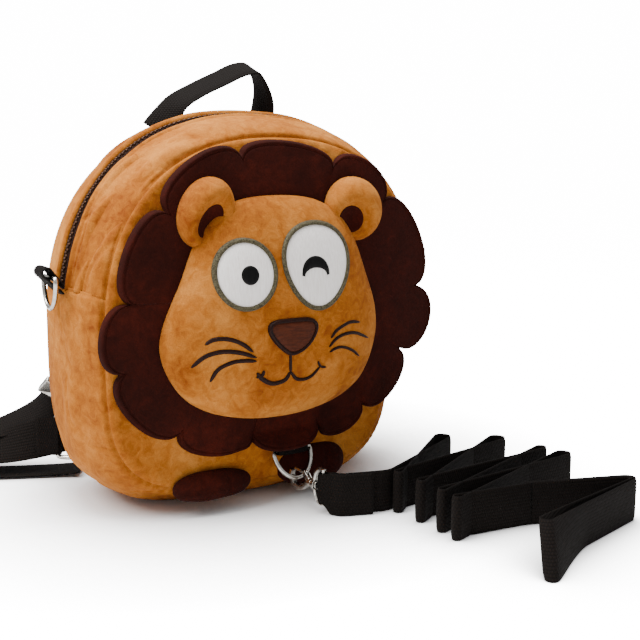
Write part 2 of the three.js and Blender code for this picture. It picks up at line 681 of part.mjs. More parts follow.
// Carrying handle: a webbing strap sewn on the rear gusset at the top. Each row is a share of the
// span and a share of the rise above the place where the handle is sewn on.
const HANDLE_ROW = 0.92;
const HANDLE_SHIFT = 1;
const HANDLE_ROWS = [
  { across: -0.58, up: -0.05, slope: -0.6 },
  { across: -0.46, up: 0.2, slope: -0.3 },
  { across: -0.33, up: 0.42, slope: -0.1 },
  { across: -0.14, up: 0.6, slope: 0.15 },
  { across: 0.1, up: 0.8, slope: 0.3 },
  { across: 0.3, up: 0.97, slope: 0.3 },
  { across: 0.44, up: 0.97, slope: 0.2 },
  { across: 0.53, up: 0.7, slope: 0 },
  { across: 0.55, up: 0.35, slope: -0.3 },
  { across: 0.5, up: -0.05, slope: -0.6 },
];
const [, handleDepth, handleSeat] = skin(Math.PI / 2, HANDLE_ROW);
const handlePoints = HANDLE_ROWS.map((row) =>
  [HANDLE_SHIFT + row.across * HANDLE_SPAN, handleDepth, handleSeat + row.up * HANDLE_RISE]);
const handleBody = solidOf(
  ribbon(handlePoints, HANDLE_ROWS.map((row) => [0, 1, row.slope]), WEBBING, HANDLE_WIDTH))
  .subtract(bagClearance);
add("handle", geometryOf(handleBody), BROWN_WEBBING);

// Front tab and ring: a short webbing loop behind the lowest lobe, with a metal half-round ring
const RING_WIDTH = 25.5;
const RING_DROP = 16;
const RING_FORWARD = 7;
const RING_ACROSS = 6;
const TAB_WIDTH = 20;
const TAB_TOP = 42;
const tabBack = -panelFront(0, TAB_TOP) + GAP + WEBBING / 2;
const pegRadius = WIRE / 2 + GAP + WEBBING / 2;
const frontBar = { x: -(-panelFront(0, RING_BAR_HEIGHT) + GAP + WEBBING / 2 + pegRadius), y: RING_BAR_HEIGHT };
const frontTabPath = beltPath([-tabBack, TAB_TOP], [{ ...frontBar, r: pegRadius, turn: -1 }],
  [frontBar.x - pegRadius, RING_BAR_HEIGHT + 3]);
add("front_tab",
  ribbon(frontTabPath.map(([y, z]) => [RING_ACROSS, y, z]), frontTabPath.map(() => [1, 0, 0]), WEBBING, TAB_WIDTH),
  BROWN_WEBBING);

function halfRoundRing(width, drop, steps = 12) {
  const arc = Array.from({ length: steps + 1 }, (_, i) => {
    const turn = Math.PI * (i / steps);
    return [(width / 2) * Math.cos(turn), -drop * Math.sin(turn) ** 0.9];
  });
  return arc;
}

const ringSlope = [-RING_FORWARD / RING_DROP, -1];
const frontRing = halfRoundRing(RING_WIDTH, RING_DROP).map(([x, down]) =>
  [RING_ACROSS + x, frontBar.x - down * ringSlope[0], RING_BAR_HEIGHT + down]);
add("front_ring", wireLoop(frontRing), NICKEL);

// Swivel snap hook: a hook body and its lever in one upright plane, and a loop for the webbing.
// Lengths along the hook run from the ring to the leash, and heights are above its axis.
const aheadOfBag = (ahead) => -(BAG_DEPTH / 2 + ahead);
const LEASH_BAR = [8.5, aheadOfBag(41)];
const LOOP_HEIGHT = 24.5;
const LOOP_MIDDLE = RING_BAR_HEIGHT - RING_DROP;
const HOOK_BAR = 2.6;
const HOOK_WIDTH = 3.2;
const ringLow = [RING_ACROSS, frontBar.x - RING_FORWARD, RING_BAR_HEIGHT - RING_DROP];
const hookStart = new THREE.Vector3(...ringLow);
const hookEnd = new THREE.Vector3(LEASH_BAR[0], LEASH_BAR[1], LOOP_MIDDLE);
const hookAxis = hookEnd.clone().sub(hookStart);
const hookReach = hookAxis.length();
hookAxis.normalize();
const hookSide = new THREE.Vector3().crossVectors(hookAxis, new THREE.Vector3(0, 0, 1)).normalize();
const hookUp = new THREE.Vector3().crossVectors(hookSide, hookAxis).normalize();
const hookFrame = new THREE.Matrix4().makeBasis(hookAxis, hookUp, hookSide).setPosition(hookStart);

const NECK = 12;
const HOOK_PATH = [
  [NECK, 0.6],
  [9.5, -1.6],
  [6.5, -4.6],
  [2.2, -5.9],
  [-2.2, -5.1],
  [-5, -2.2],
  [-5.4, 1.4],
  [-4.2, 4],
];
const GATE_HINGE = [8.2, 4.6];
const GATE_TIP = [-2.2, 5.2];
const GATE_EYE = 1.9;
const PIN_RADIUS = 0.7;
const CHEEK = 0.7;
const GATE_WIDTH = HOOK_WIDTH - 2 * CHEEK - 2 * GAP;
const POST_RADIUS = 1.4;
const POST_HEAD = 2.4;
const BOSS = 3;
const BOSS_START = NECK + 3.2;

const inHook = (geometry) => geometry.applyMatrix4(hookFrame);
const flatBar = (path, thickness, width, lift = 0) =>
  ribbon(path.map(([u, w]) => [u, w, lift]), path.map(() => [0, 0, 1]), thickness, width);
const alongHook = (radius, from, to) => solidOf(rod(radius, to - from),
  new THREE.Matrix4().makeRotationZ(Math.PI / 2).setPosition((from + to) / 2, 0, 0));
const acrossHook = (radius, at, length) => solidOf(rod(radius, length),
  new THREE.Matrix4().makeRotationX(Math.PI / 2).setPosition(at[0], at[1], 0));

const cheekLift = HOOK_WIDTH / 2 - CHEEK / 2;
const hookBody = solidOf(flatBar(HOOK_PATH, HOOK_BAR, HOOK_WIDTH))
  .add(alongHook(2.6, NECK - 1, BOSS_START - GAP))
  .add(alongHook(POST_RADIUS, NECK, BOSS_START + BOSS + GAP + 0.2))
  .add(alongHook(POST_HEAD, BOSS_START + BOSS + GAP, BOSS_START + BOSS + GAP + 1.2))
  .add(solidOf(flatBar([[NECK + 0.5, 0.4], [GATE_HINGE[0] - 1, GATE_HINGE[1] + 0.6]], 3.4, CHEEK, cheekLift)))
  .add(solidOf(flatBar([[NECK + 0.5, 0.4], [GATE_HINGE[0] - 1, GATE_HINGE[1] + 0.6]], 3.4, CHEEK, -cheekLift)))
  .add(acrossHook(PIN_RADIUS, GATE_HINGE, HOOK_WIDTH));
add("hook_body", inHook(geometryOf(hookBody)), NICKEL);

const gate = solidOf(flatBar([GATE_HINGE, GATE_TIP], 1.8, GATE_WIDTH))
  .add(acrossHook(GATE_EYE, GATE_HINGE, GATE_WIDTH))
  .subtract(acrossHook(PIN_RADIUS + GAP, GATE_HINGE, 2 * HOOK_WIDTH));
add("hook_gate", inHook(geometryOf(gate)), NICKEL);

const loopBack = hookReach;
const loopFront = BOSS_START + BOSS / 2;
const loopHalf = LOOP_HEIGHT / 2 - WIRE / 2;
const loopPoints = Array.from({ length: 11 }, (_, i) => {
  const turn = -Math.PI / 2 + Math.PI * (i / 10);
  return [loopBack - (loopBack - loopFront) * Math.cos(turn) ** 0.7, loopHalf * Math.sin(turn), 0];
});
const swivelBoss = alongHook(POST_RADIUS + 1.8, BOSS_START, BOSS_START + BOSS);
const hookLoop = solidOf(wireLoop(loopPoints)).add(swivelBoss)
  .subtract(alongHook(POST_RADIUS + GAP, BOSS_START - 4, BOSS_START + BOSS + 1.5));
add("hook_loop", inHook(geometryOf(hookLoop)), NICKEL);

// Leash: webbing that stands on its edge on the floor, folded to and fro, with a hand loop
const layer = WEBBING + 0.6;
const START_PEG = { x: 19, y: aheadOfBag(45) };
const LEASH_PEGS = [
  { ...START_PEG, r: 7 + layer, turn: -1 },
  { x: LEASH_BAR[0], y: LEASH_BAR[1], r: WIRE / 2 + WEBBING / 2 + GAP + 0.3, turn: -1 },
  { ...START_PEG, r: 7, turn: 1 },
  { x: 41, y: aheadOfBag(45), r: 13, turn: 1 },
  { x: 116, y: aheadOfBag(17), r: 5, turn: 1 },
  { x: 46, y: aheadOfBag(63), r: 2.4, turn: -1 },
  { x: 144, y: aheadOfBag(38), r: 5, turn: 1 },
  { x: 47, y: aheadOfBag(83), r: 2.4, turn: -1 },
  { x: 153, y: aheadOfBag(69), r: 3, turn: 1 },
  { x: 47, y: aheadOfBag(102), r: 2.4, turn: -1 },
  { x: 155, y: aheadOfBag(86), r: 4.5, turn: 1 },
  { x: 46, y: aheadOfBag(116), r: 2.4, turn: -1 },
  { x: 95, y: aheadOfBag(132), r: 12, turn: -1 },
  { x: 150, y: aheadOfBag(142), r: 2.2, turn: -1 },
  { x: 62, y: aheadOfBag(167), r: 3.5, turn: 1 },
  { x: 150, y: aheadOfBag(142), r: 2.2 + layer, turn: 1 },
];
const LEASH_START = [31, aheadOfBag(59)];
const LEASH_END = [94, aheadOfBag(117.5)];
const TIP = { x: 62, y: aheadOfBag(167), reach: 38, leanX: -14, leanY: -20 };
const GATHER = 12;
const leashPath = beltPath(LEASH_START, LEASH_PEGS, LEASH_END);
const gathered = ([x, y]) => Math.max(0, 1 - Math.hypot(x - LEASH_BAR[0], y - LEASH_BAR[1]) / GATHER);
const lowerLeash = leashPath.map(([x, y]) => {
  const lean = Math.max(0, 1 - Math.hypot(x - TIP.x, y - TIP.y) / TIP.reach) ** 1.5;
  const rise = Math.min(1, 1.6 * gathered([x, y])) * (LOOP_MIDDLE - LOOP_HEIGHT / 2 + WIRE + 3 * GAP);
  return [x + lean * TIP.leanX, y + lean * TIP.leanY, rise];
});
const upperLeash = leashPath.map(([x, y]) => {
  const drop = Math.min(1, 1.6 * gathered([x, y])) * (WEBBING_WIDTH - LOOP_MIDDLE - LOOP_HEIGHT / 2 + WIRE + 3 * GAP);
  return [x, y, WEBBING_WIDTH - drop];
});
const onFloor = (geometry) => {
  const { position } = geometry.attributes;
  for (let i = 0; i < position.count; i += 1) position.setZ(i, Math.max(position.getZ(i), 0));
  return geometry;
};
add("leash", onFloor(ribbonBetween(lowerLeash, upperLeash)), BROWN_WEBBING);

// Side tabs and rings, one at the end of each side seam
const SIDE_TAB_REACH = 15;
const SIDE_RING_WIDTH = 20;
const SIDE_RING_DROP = 17;
const SIDE_TAB_WIDTH = 15;
const SIDE_TAB_RISE = 13;
const SIDE_ROW = 0.36;
const tabRoot = skin(sideAngle, SIDE_ROW);
const sideBar = [tabRoot[0] + SIDE_TAB_REACH / 2, tabRoot[2] + SIDE_TAB_RISE / 2 - 0.4];
const sideTabPath = beltPath([tabRoot[0] + 1.5, tabRoot[2] + pegRadius + 1],
  [{ x: tabRoot[0] + SIDE_TAB_REACH, y: tabRoot[2] + SIDE_TAB_RISE, r: pegRadius + 0.3, turn: -1 }],
  [tabRoot[0] + 2, tabRoot[2] - pegRadius]);

// Shoulder straps: each runs down the back from the top, through a slider, out over the floor and
// back to a ring that a tab holds at the lower corner. Each row is a point of the middle line, as
// distances across, behind the back panel and up, and the direction of the strap's width there.
const backFace = BAG_DEPTH / 2 + GAP + PLUSH_WALL;
const STRAP_ROWS = [
  { across: 33, behind: 2.2, up: 198, width: [1, 0, 0.1] },
  { across: 42, behind: 4.5, up: 175, width: [1, 0, 0.3] },
  { across: 58, behind: 7, up: 140, width: [1, 0, 0.4] },
  { across: 74, behind: 8, up: 100, width: [1, 0, 0.4] },
  { across: 86, behind: 8, up: 76, width: [1, 0.1, 0.4] },
  { across: 90, behind: 10, up: 60, width: [0.9, 0.2, 0.4] },
  { across: 95, behind: 22, up: 47, width: [0.8, 0.3, 0.4] },
  { across: 105, behind: 35, up: 37, width: [0.7, 0.6, 0.4] },
  { across: 121, behind: 48, up: 29, width: [0.6, 0.7, 0.4] },
  { across: 139, behind: 58, up: 23, width: [0.5, 0.8, 0.3] },
  { across: 158, behind: 68, up: 18, width: [0.5, 0.85, 0.1] },
  { across: 174, behind: 76, up: 17, width: [0.5, 0.85, 0] },
  { across: 180, behind: 79, up: 12, width: [0.5, 0.85, 0] },
  { across: 175, behind: 76, up: 8.5, width: [0.5, 0.85, 0] },
  { across: 160, behind: 64, up: 10.5, width: [0.5, 0.85, 0.1] },
  { across: 142, behind: 48, up: 17, width: [0.3, 0.6, 0.7] },
  { across: 124, behind: 33, up: 24, width: [0, 0.2, 1] },
];
const STRAP_RING = { inner: [90, 7.5], outer: [98, 14.5], up: 27, height: 32 };
const LOWER_STRAP_ROWS = [
  { across: 82, behind: 14, up: 3.2, width: [-0.6, 0.8, 0] },
  { across: 90, behind: 19, up: 2.4, width: [-0.55, 0.83, 0] },
  { across: 102, behind: 25, up: 1.8, width: [-0.5, 0.86, 0] },
  { across: 124, behind: 35, up: 1.6, width: [-0.45, 0.89, 0] },
  { across: 150, behind: 48, up: 1.6, width: [-0.45, 0.89, 0] },
];
const SLIDER = { length: 13, width: 29, thickness: 4.4, after: 5 };
const behindBack = (row) => [row.across, backFace + row.behind, row.up];

// Strap end: from the last row the webbing turns on its edge and wraps the ring's outer bar
const ringOuter = { x: STRAP_RING.outer[0], y: backFace + STRAP_RING.outer[1] };
const ringInner = { x: STRAP_RING.inner[0], y: backFace + STRAP_RING.inner[1] };
const lastRow = behindBack(STRAP_ROWS[STRAP_ROWS.length - 1]);
const strapEnd = beltPath([lastRow[0], lastRow[1]],
  [{ ...ringOuter, r: pegRadius, turn: 1 }], [ringOuter.x + 12, ringOuter.y + 4.5], 0.7).slice(1);
const strapMiddle = [...STRAP_ROWS.map(behindBack), ...strapEnd.map(([x, y]) => [x, y, STRAP_RING.up])];
const strapWidths = [...STRAP_ROWS.map((row) => row.width), ...strapEnd.map(() => [0, 0, 1])];
const cornerTab = beltPath([76, backFace + 1.3], [{ ...ringInner, r: pegRadius, turn: 1 }],
  [76, backFace + 3.6], 0.7);
const ringCorners = (lift) => [[ringInner, -1], [ringOuter, -1], [ringOuter, 1], [ringInner, 1]].map(([bar, end]) =>
  [bar.x, bar.y, STRAP_RING.up + end * (STRAP_RING.height / 2 - lift)]);

// Slider: a flat sleeve round the shoulder strap, where the strap leaves the bag
const sliderFrom = new THREE.Vector3(...behindBack(STRAP_ROWS[SLIDER.after]));
const sliderTo = new THREE.Vector3(...behindBack(STRAP_ROWS[SLIDER.after + 1]));
const sliderMiddle = sliderFrom.clone().lerp(sliderTo, 0.5);
const sliderAlong = sliderTo.clone().sub(sliderFrom).normalize();
const sliderEnds = [-1, 1].map((end) =>
  sliderMiddle.clone().addScaledVector(sliderAlong, end * SLIDER.length / 2).toArray());
const sliderWidths = [STRAP_ROWS[SLIDER.after].width, STRAP_ROWS[SLIDER.after + 1].width];
const sliderSleeve = (mirrored) => solidOf(
  ribbon(sliderEnds.map(mirrored), sliderWidths.map(mirrored), SLIDER.thickness, SLIDER.width))
  .subtract(solidOf(ribbon(strapMiddle.map(mirrored), strapWidths.map(mirrored),
    WEBBING + 2 * GAP, WEBBING_WIDTH + 2 * GAP)));

for (const [side, sign] of [["left", -1], ["right", 1]]) {
  const mirrored = ([x, y, z]) => [sign * x, y, z];
  add(`side_tab_${side}`,
    ribbon(sideTabPath.map(([x, z]) => mirrored([x, tabRoot[1], z])), sideTabPath.map(() => [0, 1, 0]),
      WEBBING, SIDE_TAB_WIDTH), BROWN_WEBBING);
  const ring = halfRoundRing(SIDE_RING_WIDTH, SIDE_RING_DROP).map(([y, down]) =>
    mirrored([sideBar[0], tabRoot[1] + y, sideBar[1] + down]));
  add(`side_ring_${side}`, wireLoop(ring), NICKEL);
  add(`shoulder_strap_${side}`, ribbon(strapMiddle.map(mirrored), strapWidths.map(mirrored)), BROWN_WEBBING);
  add(`strap_slider_${side}`, geometryOf(sliderSleeve(mirrored)), NICKEL);
  add(`lower_strap_${side}`,
    ribbon(LOWER_STRAP_ROWS.map((row) => mirrored(behindBack(row))),
      LOWER_STRAP_ROWS.map((row) => mirrored(row.width))), BROWN_WEBBING);
  add(`strap_ring_${side}`, wireLoop(ringCorners(WIRE / 2).map(mirrored)), NICKEL);
  add(`corner_tab_${side}`,
    ribbon(cornerTab.map(([x, y]) => mirrored([x, y, STRAP_RING.up])), cornerTab.map(() => [0, 0, 1]),
      WEBBING, STRAP_RING.height - 2 * WIRE - 2 * GAP), BROWN_WEBBING);
}

add("mane", maneGeometry, BROWN_PLUSH);

export default product;
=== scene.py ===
# A toddler's plush harness backpack with a stuffed lion face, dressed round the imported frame.
# Shapes are worked out in millimetres, in the frame's own axes, and turned into metres as meshes.
import math

import bmesh
import bpy
import numpy as np
from mathutils import Matrix, Vector, noise


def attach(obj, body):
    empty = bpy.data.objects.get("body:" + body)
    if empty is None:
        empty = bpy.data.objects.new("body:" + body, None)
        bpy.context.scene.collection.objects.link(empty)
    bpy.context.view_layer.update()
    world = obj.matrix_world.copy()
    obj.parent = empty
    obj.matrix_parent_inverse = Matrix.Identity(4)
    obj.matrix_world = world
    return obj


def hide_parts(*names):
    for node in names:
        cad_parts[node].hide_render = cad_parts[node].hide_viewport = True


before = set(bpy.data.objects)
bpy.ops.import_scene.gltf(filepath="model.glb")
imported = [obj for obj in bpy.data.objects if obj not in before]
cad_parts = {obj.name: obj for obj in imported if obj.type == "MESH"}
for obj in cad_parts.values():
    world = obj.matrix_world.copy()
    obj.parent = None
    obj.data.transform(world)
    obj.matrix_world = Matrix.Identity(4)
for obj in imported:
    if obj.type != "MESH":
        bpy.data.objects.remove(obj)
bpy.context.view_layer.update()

# Camera: the photograph's own viewpoint, fitted to the bag's seams
AZIMUTH, ELEVATION, ROLL = math.radians(-33), math.radians(9.4), math.radians(0.4)
back = Vector((math.sin(AZIMUTH) * math.cos(ELEVATION), -math.cos(AZIMUTH) * math.cos(ELEVATION),
               math.sin(ELEVATION)))
level = Vector((math.cos(AZIMUTH), math.sin(AZIMUTH), 0))
upward = back.cross(level)
right = math.cos(ROLL) * level + math.sin(ROLL) * upward
upright = math.cos(ROLL) * upward - math.sin(ROLL) * level
camera = bpy.data.objects.new("camera", bpy.data.cameras.new("camera"))
CAMERA_PLACE = (-0.328, -0.599, 0.215)
CAMERA_LENS, SENSOR_WIDTH = 61.875, 36
turned_camera = Matrix((right, upright, back)).transposed().to_4x4()
camera.matrix_world = Matrix.Translation(CAMERA_PLACE) @ turned_camera
camera.data.sensor_width = SENSOR_WIDTH
camera.data.lens = CAMERA_LENS
camera.data.clip_start = 0.01
bpy.context.scene.collection.objects.link(camera)
bpy.context.scene.camera = camera

# Studio: a white room that the camera sees brighter than it lights, a key from the left and one from above
world = bpy.data.worlds.new("studio")
bpy.context.scene.world = world
world.use_nodes = True
ROOM_LIGHT, SEEN_WHITE = 0.6, 15
background = world.node_tree.nodes["Background"]
background.inputs["Color"].default_value = (1, 1, 1, 1)
seen = world.node_tree.nodes.new("ShaderNodeLightPath").outputs["Is Camera Ray"]
strength = world.node_tree.nodes.new("ShaderNodeMath")
strength.operation = "MULTIPLY_ADD"
strength.inputs[1].default_value = SEEN_WHITE
strength.inputs[2].default_value = ROOM_LIGHT
world.node_tree.links.new(seen, strength.inputs[0])
world.node_tree.links.new(strength.outputs[0], background.inputs["Strength"])
for name, place, size, energy in (("key", (-0.95, 0.05, 1.1), 0.7, 22), ("top", (-0.1, 0.1, 1.5), 0.9, 40)):
    light = bpy.data.objects.new(name, bpy.data.lights.new(name, "AREA"))
    light.data.size = size
    light.data.energy = energy
    light.location = place
    light.rotation_euler = (Vector((0, 0, 0.1)) - Vector(place)).to_track_quat("-Z", "Y").to_euler()
    bpy.context.scene.collection.objects.link(light)


def linear(hex_color):
    """The linear colour of an sRGB hex value."""
    shares = [int(hex_color[i:i + 2], 16) / 255 for i in (1, 3, 5)]
    return tuple(c / 12.92 if c <= 0.04045 else ((c + 0.055) / 1.055) ** 2.4 for c in shares) + (1,)


# Studio floor: a pale surface that glows white for the camera, with painted contact shade that darkens it
# near the bag. A finish starts from a principled surface, and its texture comes from nodes on object
# coordinates, or on a strip's own length and width.
class Surface:
    def __init__(self, name, roughness, metallic=0.0, sheen=0.0, sheen_tint="#FFFFFF"):
        self.material = bpy.data.materials.new(name)
        self.material.use_nodes = True
        self.tree = self.material.node_tree
        self.shader = self.tree.nodes["Principled BSDF"]
        self.shader.inputs["Roughness"].default_value = roughness
        self.shader.inputs["Metallic"].default_value = metallic
        self.shader.inputs["Sheen Weight"].default_value = sheen
        self.shader.inputs["Specular IOR Level"].default_value = 0.5 if metallic else 0.12
        self.shader.inputs["Sheen Roughness"].default_value = 0.45
        self.shader.inputs["Sheen Tint"].default_value = linear(sheen_tint)
        self.place = self.tree.nodes.new("ShaderNodeTexCoord")

    def node(self, kind, links=(), **values):
        made = self.tree.nodes.new(kind)
        for key, value in values.items():
            setattr(made, key, value)
        for socket, source in links:
            if hasattr(source, "is_linked"):
                self.tree.links.new(source, made.inputs[socket])
            else:
                made.inputs[socket].default_value = source
        return made

    def noise(self, scale, detail=3.0, roughness=0.5, distortion=0.0, stretch=None):
        source = self.place.outputs["Object"]
        if stretch:
            source = self.node("ShaderNodeMapping", [("Vector", source), ("Scale", stretch)]).outputs[0]
        return self.node("ShaderNodeTexNoise", [
            ("Vector", source), ("Scale", scale), ("Detail", detail),
            ("Roughness", roughness), ("Distortion", distortion)]).outputs["Fac"]

    def ramp(self, value, stops):
        made = self.node("ShaderNodeValToRGB", [("Fac", value)])
        elements = made.color_ramp.elements
        while len(elements) < len(stops):
            elements.new(0.5)
        for element, (place, color) in zip(elements, stops):
            element.position = place
            element.color = linear(color)
        return made.outputs["Color"]

    def math(self, operation, *values):
        return self.node("ShaderNodeMath", list(enumerate(values)), operation=operation).outputs[0]

    def mix(self, share, first, second, blend="MIX"):
        made = self.node("ShaderNodeMix", data_type="RGBA", blend_type=blend)
        for socket, source in ((0, share), (6, first), (7, second)):
            if hasattr(source, "is_linked"):
                self.tree.links.new(source, made.inputs[socket])
            else:
                made.inputs[socket].default_value = source
        return made.outputs[2]

    def finish(self, color, height=None, depth=0.0003, strength=0.6):
        self.tree.links.new(color, self.shader.inputs["Base Color"])
        if height is not None:
            bump = self.node("ShaderNodeBump", [
                ("Height", height), ("Strength", strength), ("Distance", depth)])
            self.tree.links.new(bump.outputs["Normal"], self.shader.inputs["Normal"])
        return self.material


floor_made = Surface("studio_floor", 0.7)
floor_paint = floor_made.finish(floor_made.ramp(floor_made.noise(3), [(0.2, "#F0F0F0"), (0.8, "#F4F4F4")]))
# Painted contact shade: the floor's white glow for the camera is dimmed by ambient occlusion, so it darkens
# near the bag
nearness = floor_made.node("ShaderNodeAmbientOcclusion", [("Distance", 0.14)])
painted_contact_shade = floor_made.math("POWER", nearness.outputs["AO"], 5.0)
path = floor_made.node("ShaderNodeLightPath")
seen_painted_contact_shade = floor_made.math("MULTIPLY", painted_contact_shade, path.outputs["Is Camera Ray"])
floor_glow_with_painted_shade = floor_made.math("MULTIPLY", seen_painted_contact_shade, SEEN_WHITE)
floor_made.tree.links.new(floor_glow_with_painted_shade, floor_made.shader.inputs["Emission Strength"])
floor_made.shader.inputs["Emission Color"].default_value = (1, 1, 1, 1)

bpy.ops.mesh.primitive_plane_add(size=60, location=(0, 0, -0.0002))
floor = bpy.context.object
floor.name = "floor"
floor.data.materials.append(floor_paint)


# Bag shell: a gusset of short-piled plush round the bag, sewn to a front and a back panel. A zipper parts
# its upper half, its lower half is one strip, and slack and seams draw the plush into soft folds.
# Sizes are in millimetres, as in the frame's source.
SEAM_HALF_WIDTH, BAG_HALF_WIDTH = 107, 120
SEAM_TOP, BAG_TOP, SEAM_BOTTOM, BAG_MIDDLE = 215, 230, 13, 105
BAG_DEPTH, WALL, FRONT_DOME, BACK_DOME = 90, 2.5, 8, 4
TOP_ROUNDNESS, BOTTOM_ROUNDNESS, SWELL, FLAT_SINK = 2.35, 4, 0.62, 1.5
SIDE_SEAM_HEIGHT, ZIPPER_BEHIND_FRONT, ZIPPER_WIDTH = 132, 36, 7
GAP = 0.3


def power(value, roundness):
    return np.sign(value) * np.abs(value) ** (2 / roundness)


def smooth(low, high, value):
    share = np.clip((value - low) / (high - low), 0, 1)
    return share * share * (3 - 2 * share)


def skin(angle, row, inset=0.0):
    """A point of the gusset: angles run round the outline from +X, rows from front (0) to back (1)."""
    angle, row = np.broadcast_arrays(np.asarray(angle, float), np.asarray(row, float))
    swell = np.sin(np.pi * np.clip(row, 0, 1)) ** SWELL
    half_width = SEAM_HALF_WIDTH + (BAG_HALF_WIDTH - SEAM_HALF_WIDTH) * swell - inset
    top = SEAM_TOP + (BAG_TOP - SEAM_TOP) * swell - inset
    bottom = SEAM_BOTTOM - (SEAM_BOTTOM + FLAT_SINK) * swell + inset
    roundness = np.where(np.sin(angle) >= 0, TOP_ROUNDNESS, BOTTOM_ROUNDNESS)
    rise = power(np.sin(angle), roundness)
    height = BAG_MIDDLE + rise * np.where(rise >= 0, top - BAG_MIDDLE, BAG_MIDDLE - bottom)
    across = half_width * power(np.cos(angle), roundness)
    tuck = 0.24 * smooth(0, 1, (135 - height) / 85) * np.clip(1 - row / 0.55, 0, 1)
    across = np.where(across > 0, across * (1 - tuck), across)
    return np.stack([across, -BAG_DEPTH / 2 + BAG_DEPTH * row, np.maximum(height, inset)], -1)


def panel_share(x, z):
    h = (z - (SEAM_TOP + SEAM_BOTTOM) / 2) / ((SEAM_TOP - SEAM_BOTTOM) / 2)
    return np.minimum(1, (x / SEAM_HALF_WIDTH) ** 2 + h * h)


def panel_front(x, z):
    return -(BAG_DEPTH / 2 + GAP + WALL + FRONT_DOME * (1 - panel_share(x, z)))


def panel_back(x, z):
    return BAG_DEPTH / 2 + GAP + WALL + BACK_DOME * (1 - panel_share(x, z))


# A piece is a list of points in millimetres and its faces, and rides on one body
def piece(name, points, faces, material, nodes=(), body="bag", uv=None):
    mesh = bpy.data.meshes.new(name)
    mesh.from_pydata((np.asarray(points, float) / 1000).tolist(), [], [list(map(int, f)) for f in faces])
    if uv is not None:
        layer = mesh.uv_layers.new(name="webbing")
        corners = np.array([loop.vertex_index for loop in mesh.loops])
        layer.data.foreach_set("uv", np.asarray(uv, float)[corners].ravel())
    made = bmesh.new()
    made.from_mesh(mesh)
    bmesh.ops.recalc_face_normals(made, faces=made.faces)
    made.to_mesh(mesh)
    made.free()
    mesh.shade_smooth()
    mesh.materials.append(material)
    obj = bpy.data.objects.new(name, mesh)
    bpy.context.scene.collection.objects.link(obj)
    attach(obj, body)
    if nodes:
        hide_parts(*nodes)
    return obj


def wall(outer, inner, wrap=False):
    """Points and faces of a closed body between two grids of the same size."""
    rows, columns = outer.shape[:2]
    index = np.arange(rows * columns).reshape(rows, columns)
    if wrap:
        index = np.vstack([index, index[:1]])
    a, b, c, d = index[:-1, :-1], index[1:, :-1], index[1:, 1:], index[:-1, 1:]
    quads = np.stack([a, b, c, d], -1).reshape(-1, 4)
    under = quads[:, ::-1] + rows * columns
    rim = list(quads) + list(under)
    edges = [index[:, 0], index[::-1, -1]] + ([] if wrap else [index[-1], index[0][::-1]])
    for edge in edges:
        first, second = edge[:-1], edge[1:]
        rim += list(np.stack([first, first + rows * columns, second + rows * columns, second], -1))
    return np.concatenate([outer.reshape(-1, 3), inner.reshape(-1, 3)]), rim


def normals(grid):
    across = np.cross(np.gradient(grid, axis=1), np.gradient(grid, axis=0))
    return across / np.maximum(np.linalg.norm(across, axis=-1, keepdims=True), 1e-9)


def away_from(grid, center):
    """Unit directions square to the grid, on the side away from the given point."""
    out = normals(grid)
    side = np.sign(np.sum(out * (grid - np.asarray(center)), -1, keepdims=True))
    return out * np.where(side == 0, 1, side)


def rough(points, size, seed=0.0):
    """Smooth noise from -1 to 1 whose lumps are about that many millimetres across."""
    flat = np.asarray(points, float).reshape(-1, 3) / size + seed
    values = np.array([noise.noise(Vector(p)) for p in flat])
    return values.reshape(np.asarray(points).shape[:-1])


def plush(name, stops, sheen, tint, seed):
    """Short brushed pile: patches where the nap lies both ways, soft streaks and fine fibres."""
    made = Surface(name, 0.92, sheen=sheen, sheen_tint=tint)
    patches = made.noise(26 + seed, 3, 0.55, 0.6)
    streaks = made.noise(150 + seed, 3, 0.6, 1.2)
    fibres = made.noise(1500, 2, 0.7)
    nap = made.math("ADD", made.math("MULTIPLY", patches, 0.62), made.math("MULTIPLY", streaks, 0.38))
    tone = made.ramp(nap, stops)
    shade = made.ramp(fibres, [(0.3, "#B9B9B9"), (0.7, "#FFFFFF")])
    color = made.mix(0.55, tone, shade, "MULTIPLY")
    height = made.math("ADD", made.math("MULTIPLY", fibres, 0.5), streaks)
    return made.finish(color, height, 0.0007, 0.45)


tan_plush = plush("brushed_tan_plush",
                  [(0.34, "#84400C"), (0.48, "#A8611C"), (0.66, "#C67F35")], 0.1, "#F0B868", 0)

# Gusset strips: relief is worked out along an arc of one radius, and the folds end short of the zipper
side_share = (SIDE_SEAM_HEIGHT - BAG_MIDDLE) / (BAG_TOP - BAG_MIDDLE)
side_angle = math.asin(side_share ** (TOP_ROUNDNESS / 2))
zipper_row = ZIPPER_BEHIND_FRONT / BAG_DEPTH
half_zipper = ZIPPER_WIDTH / 2 / BAG_DEPTH
BAG_CENTER = (0, 0, 105)
STITCH_FROM_ZIPPER = 4.2
ARC_RADIUS = 115
FOLDLESS_LIP = 3.99


def dip(distance, width):
    return np.exp(-(distance / width) ** 2)


def strip(name, angles, rows, steps, lines, relief, nodes):
    turn, row = np.meshgrid(np.linspace(*angles, steps), np.linspace(*rows, lines), indexing="ij")
    base = skin(turn, row)
    out = away_from(base, BAG_CENTER)
    skin_out = base + out * relief(turn, row, base)[..., None]
    skin_out[..., 2] = np.maximum(skin_out[..., 2], 0.05)
    inner = base - out * 2.2
    inner[..., 2] = np.maximum(inner[..., 2], 1.6)
    points, faces = wall(skin_out, inner)
    return piece(name, points, faces, tan_plush, nodes)


def soft_lumps(base):
    return 0.7 * rough(base, 38, 3.1) + 0.25 * rough(base, 13, 7.7)


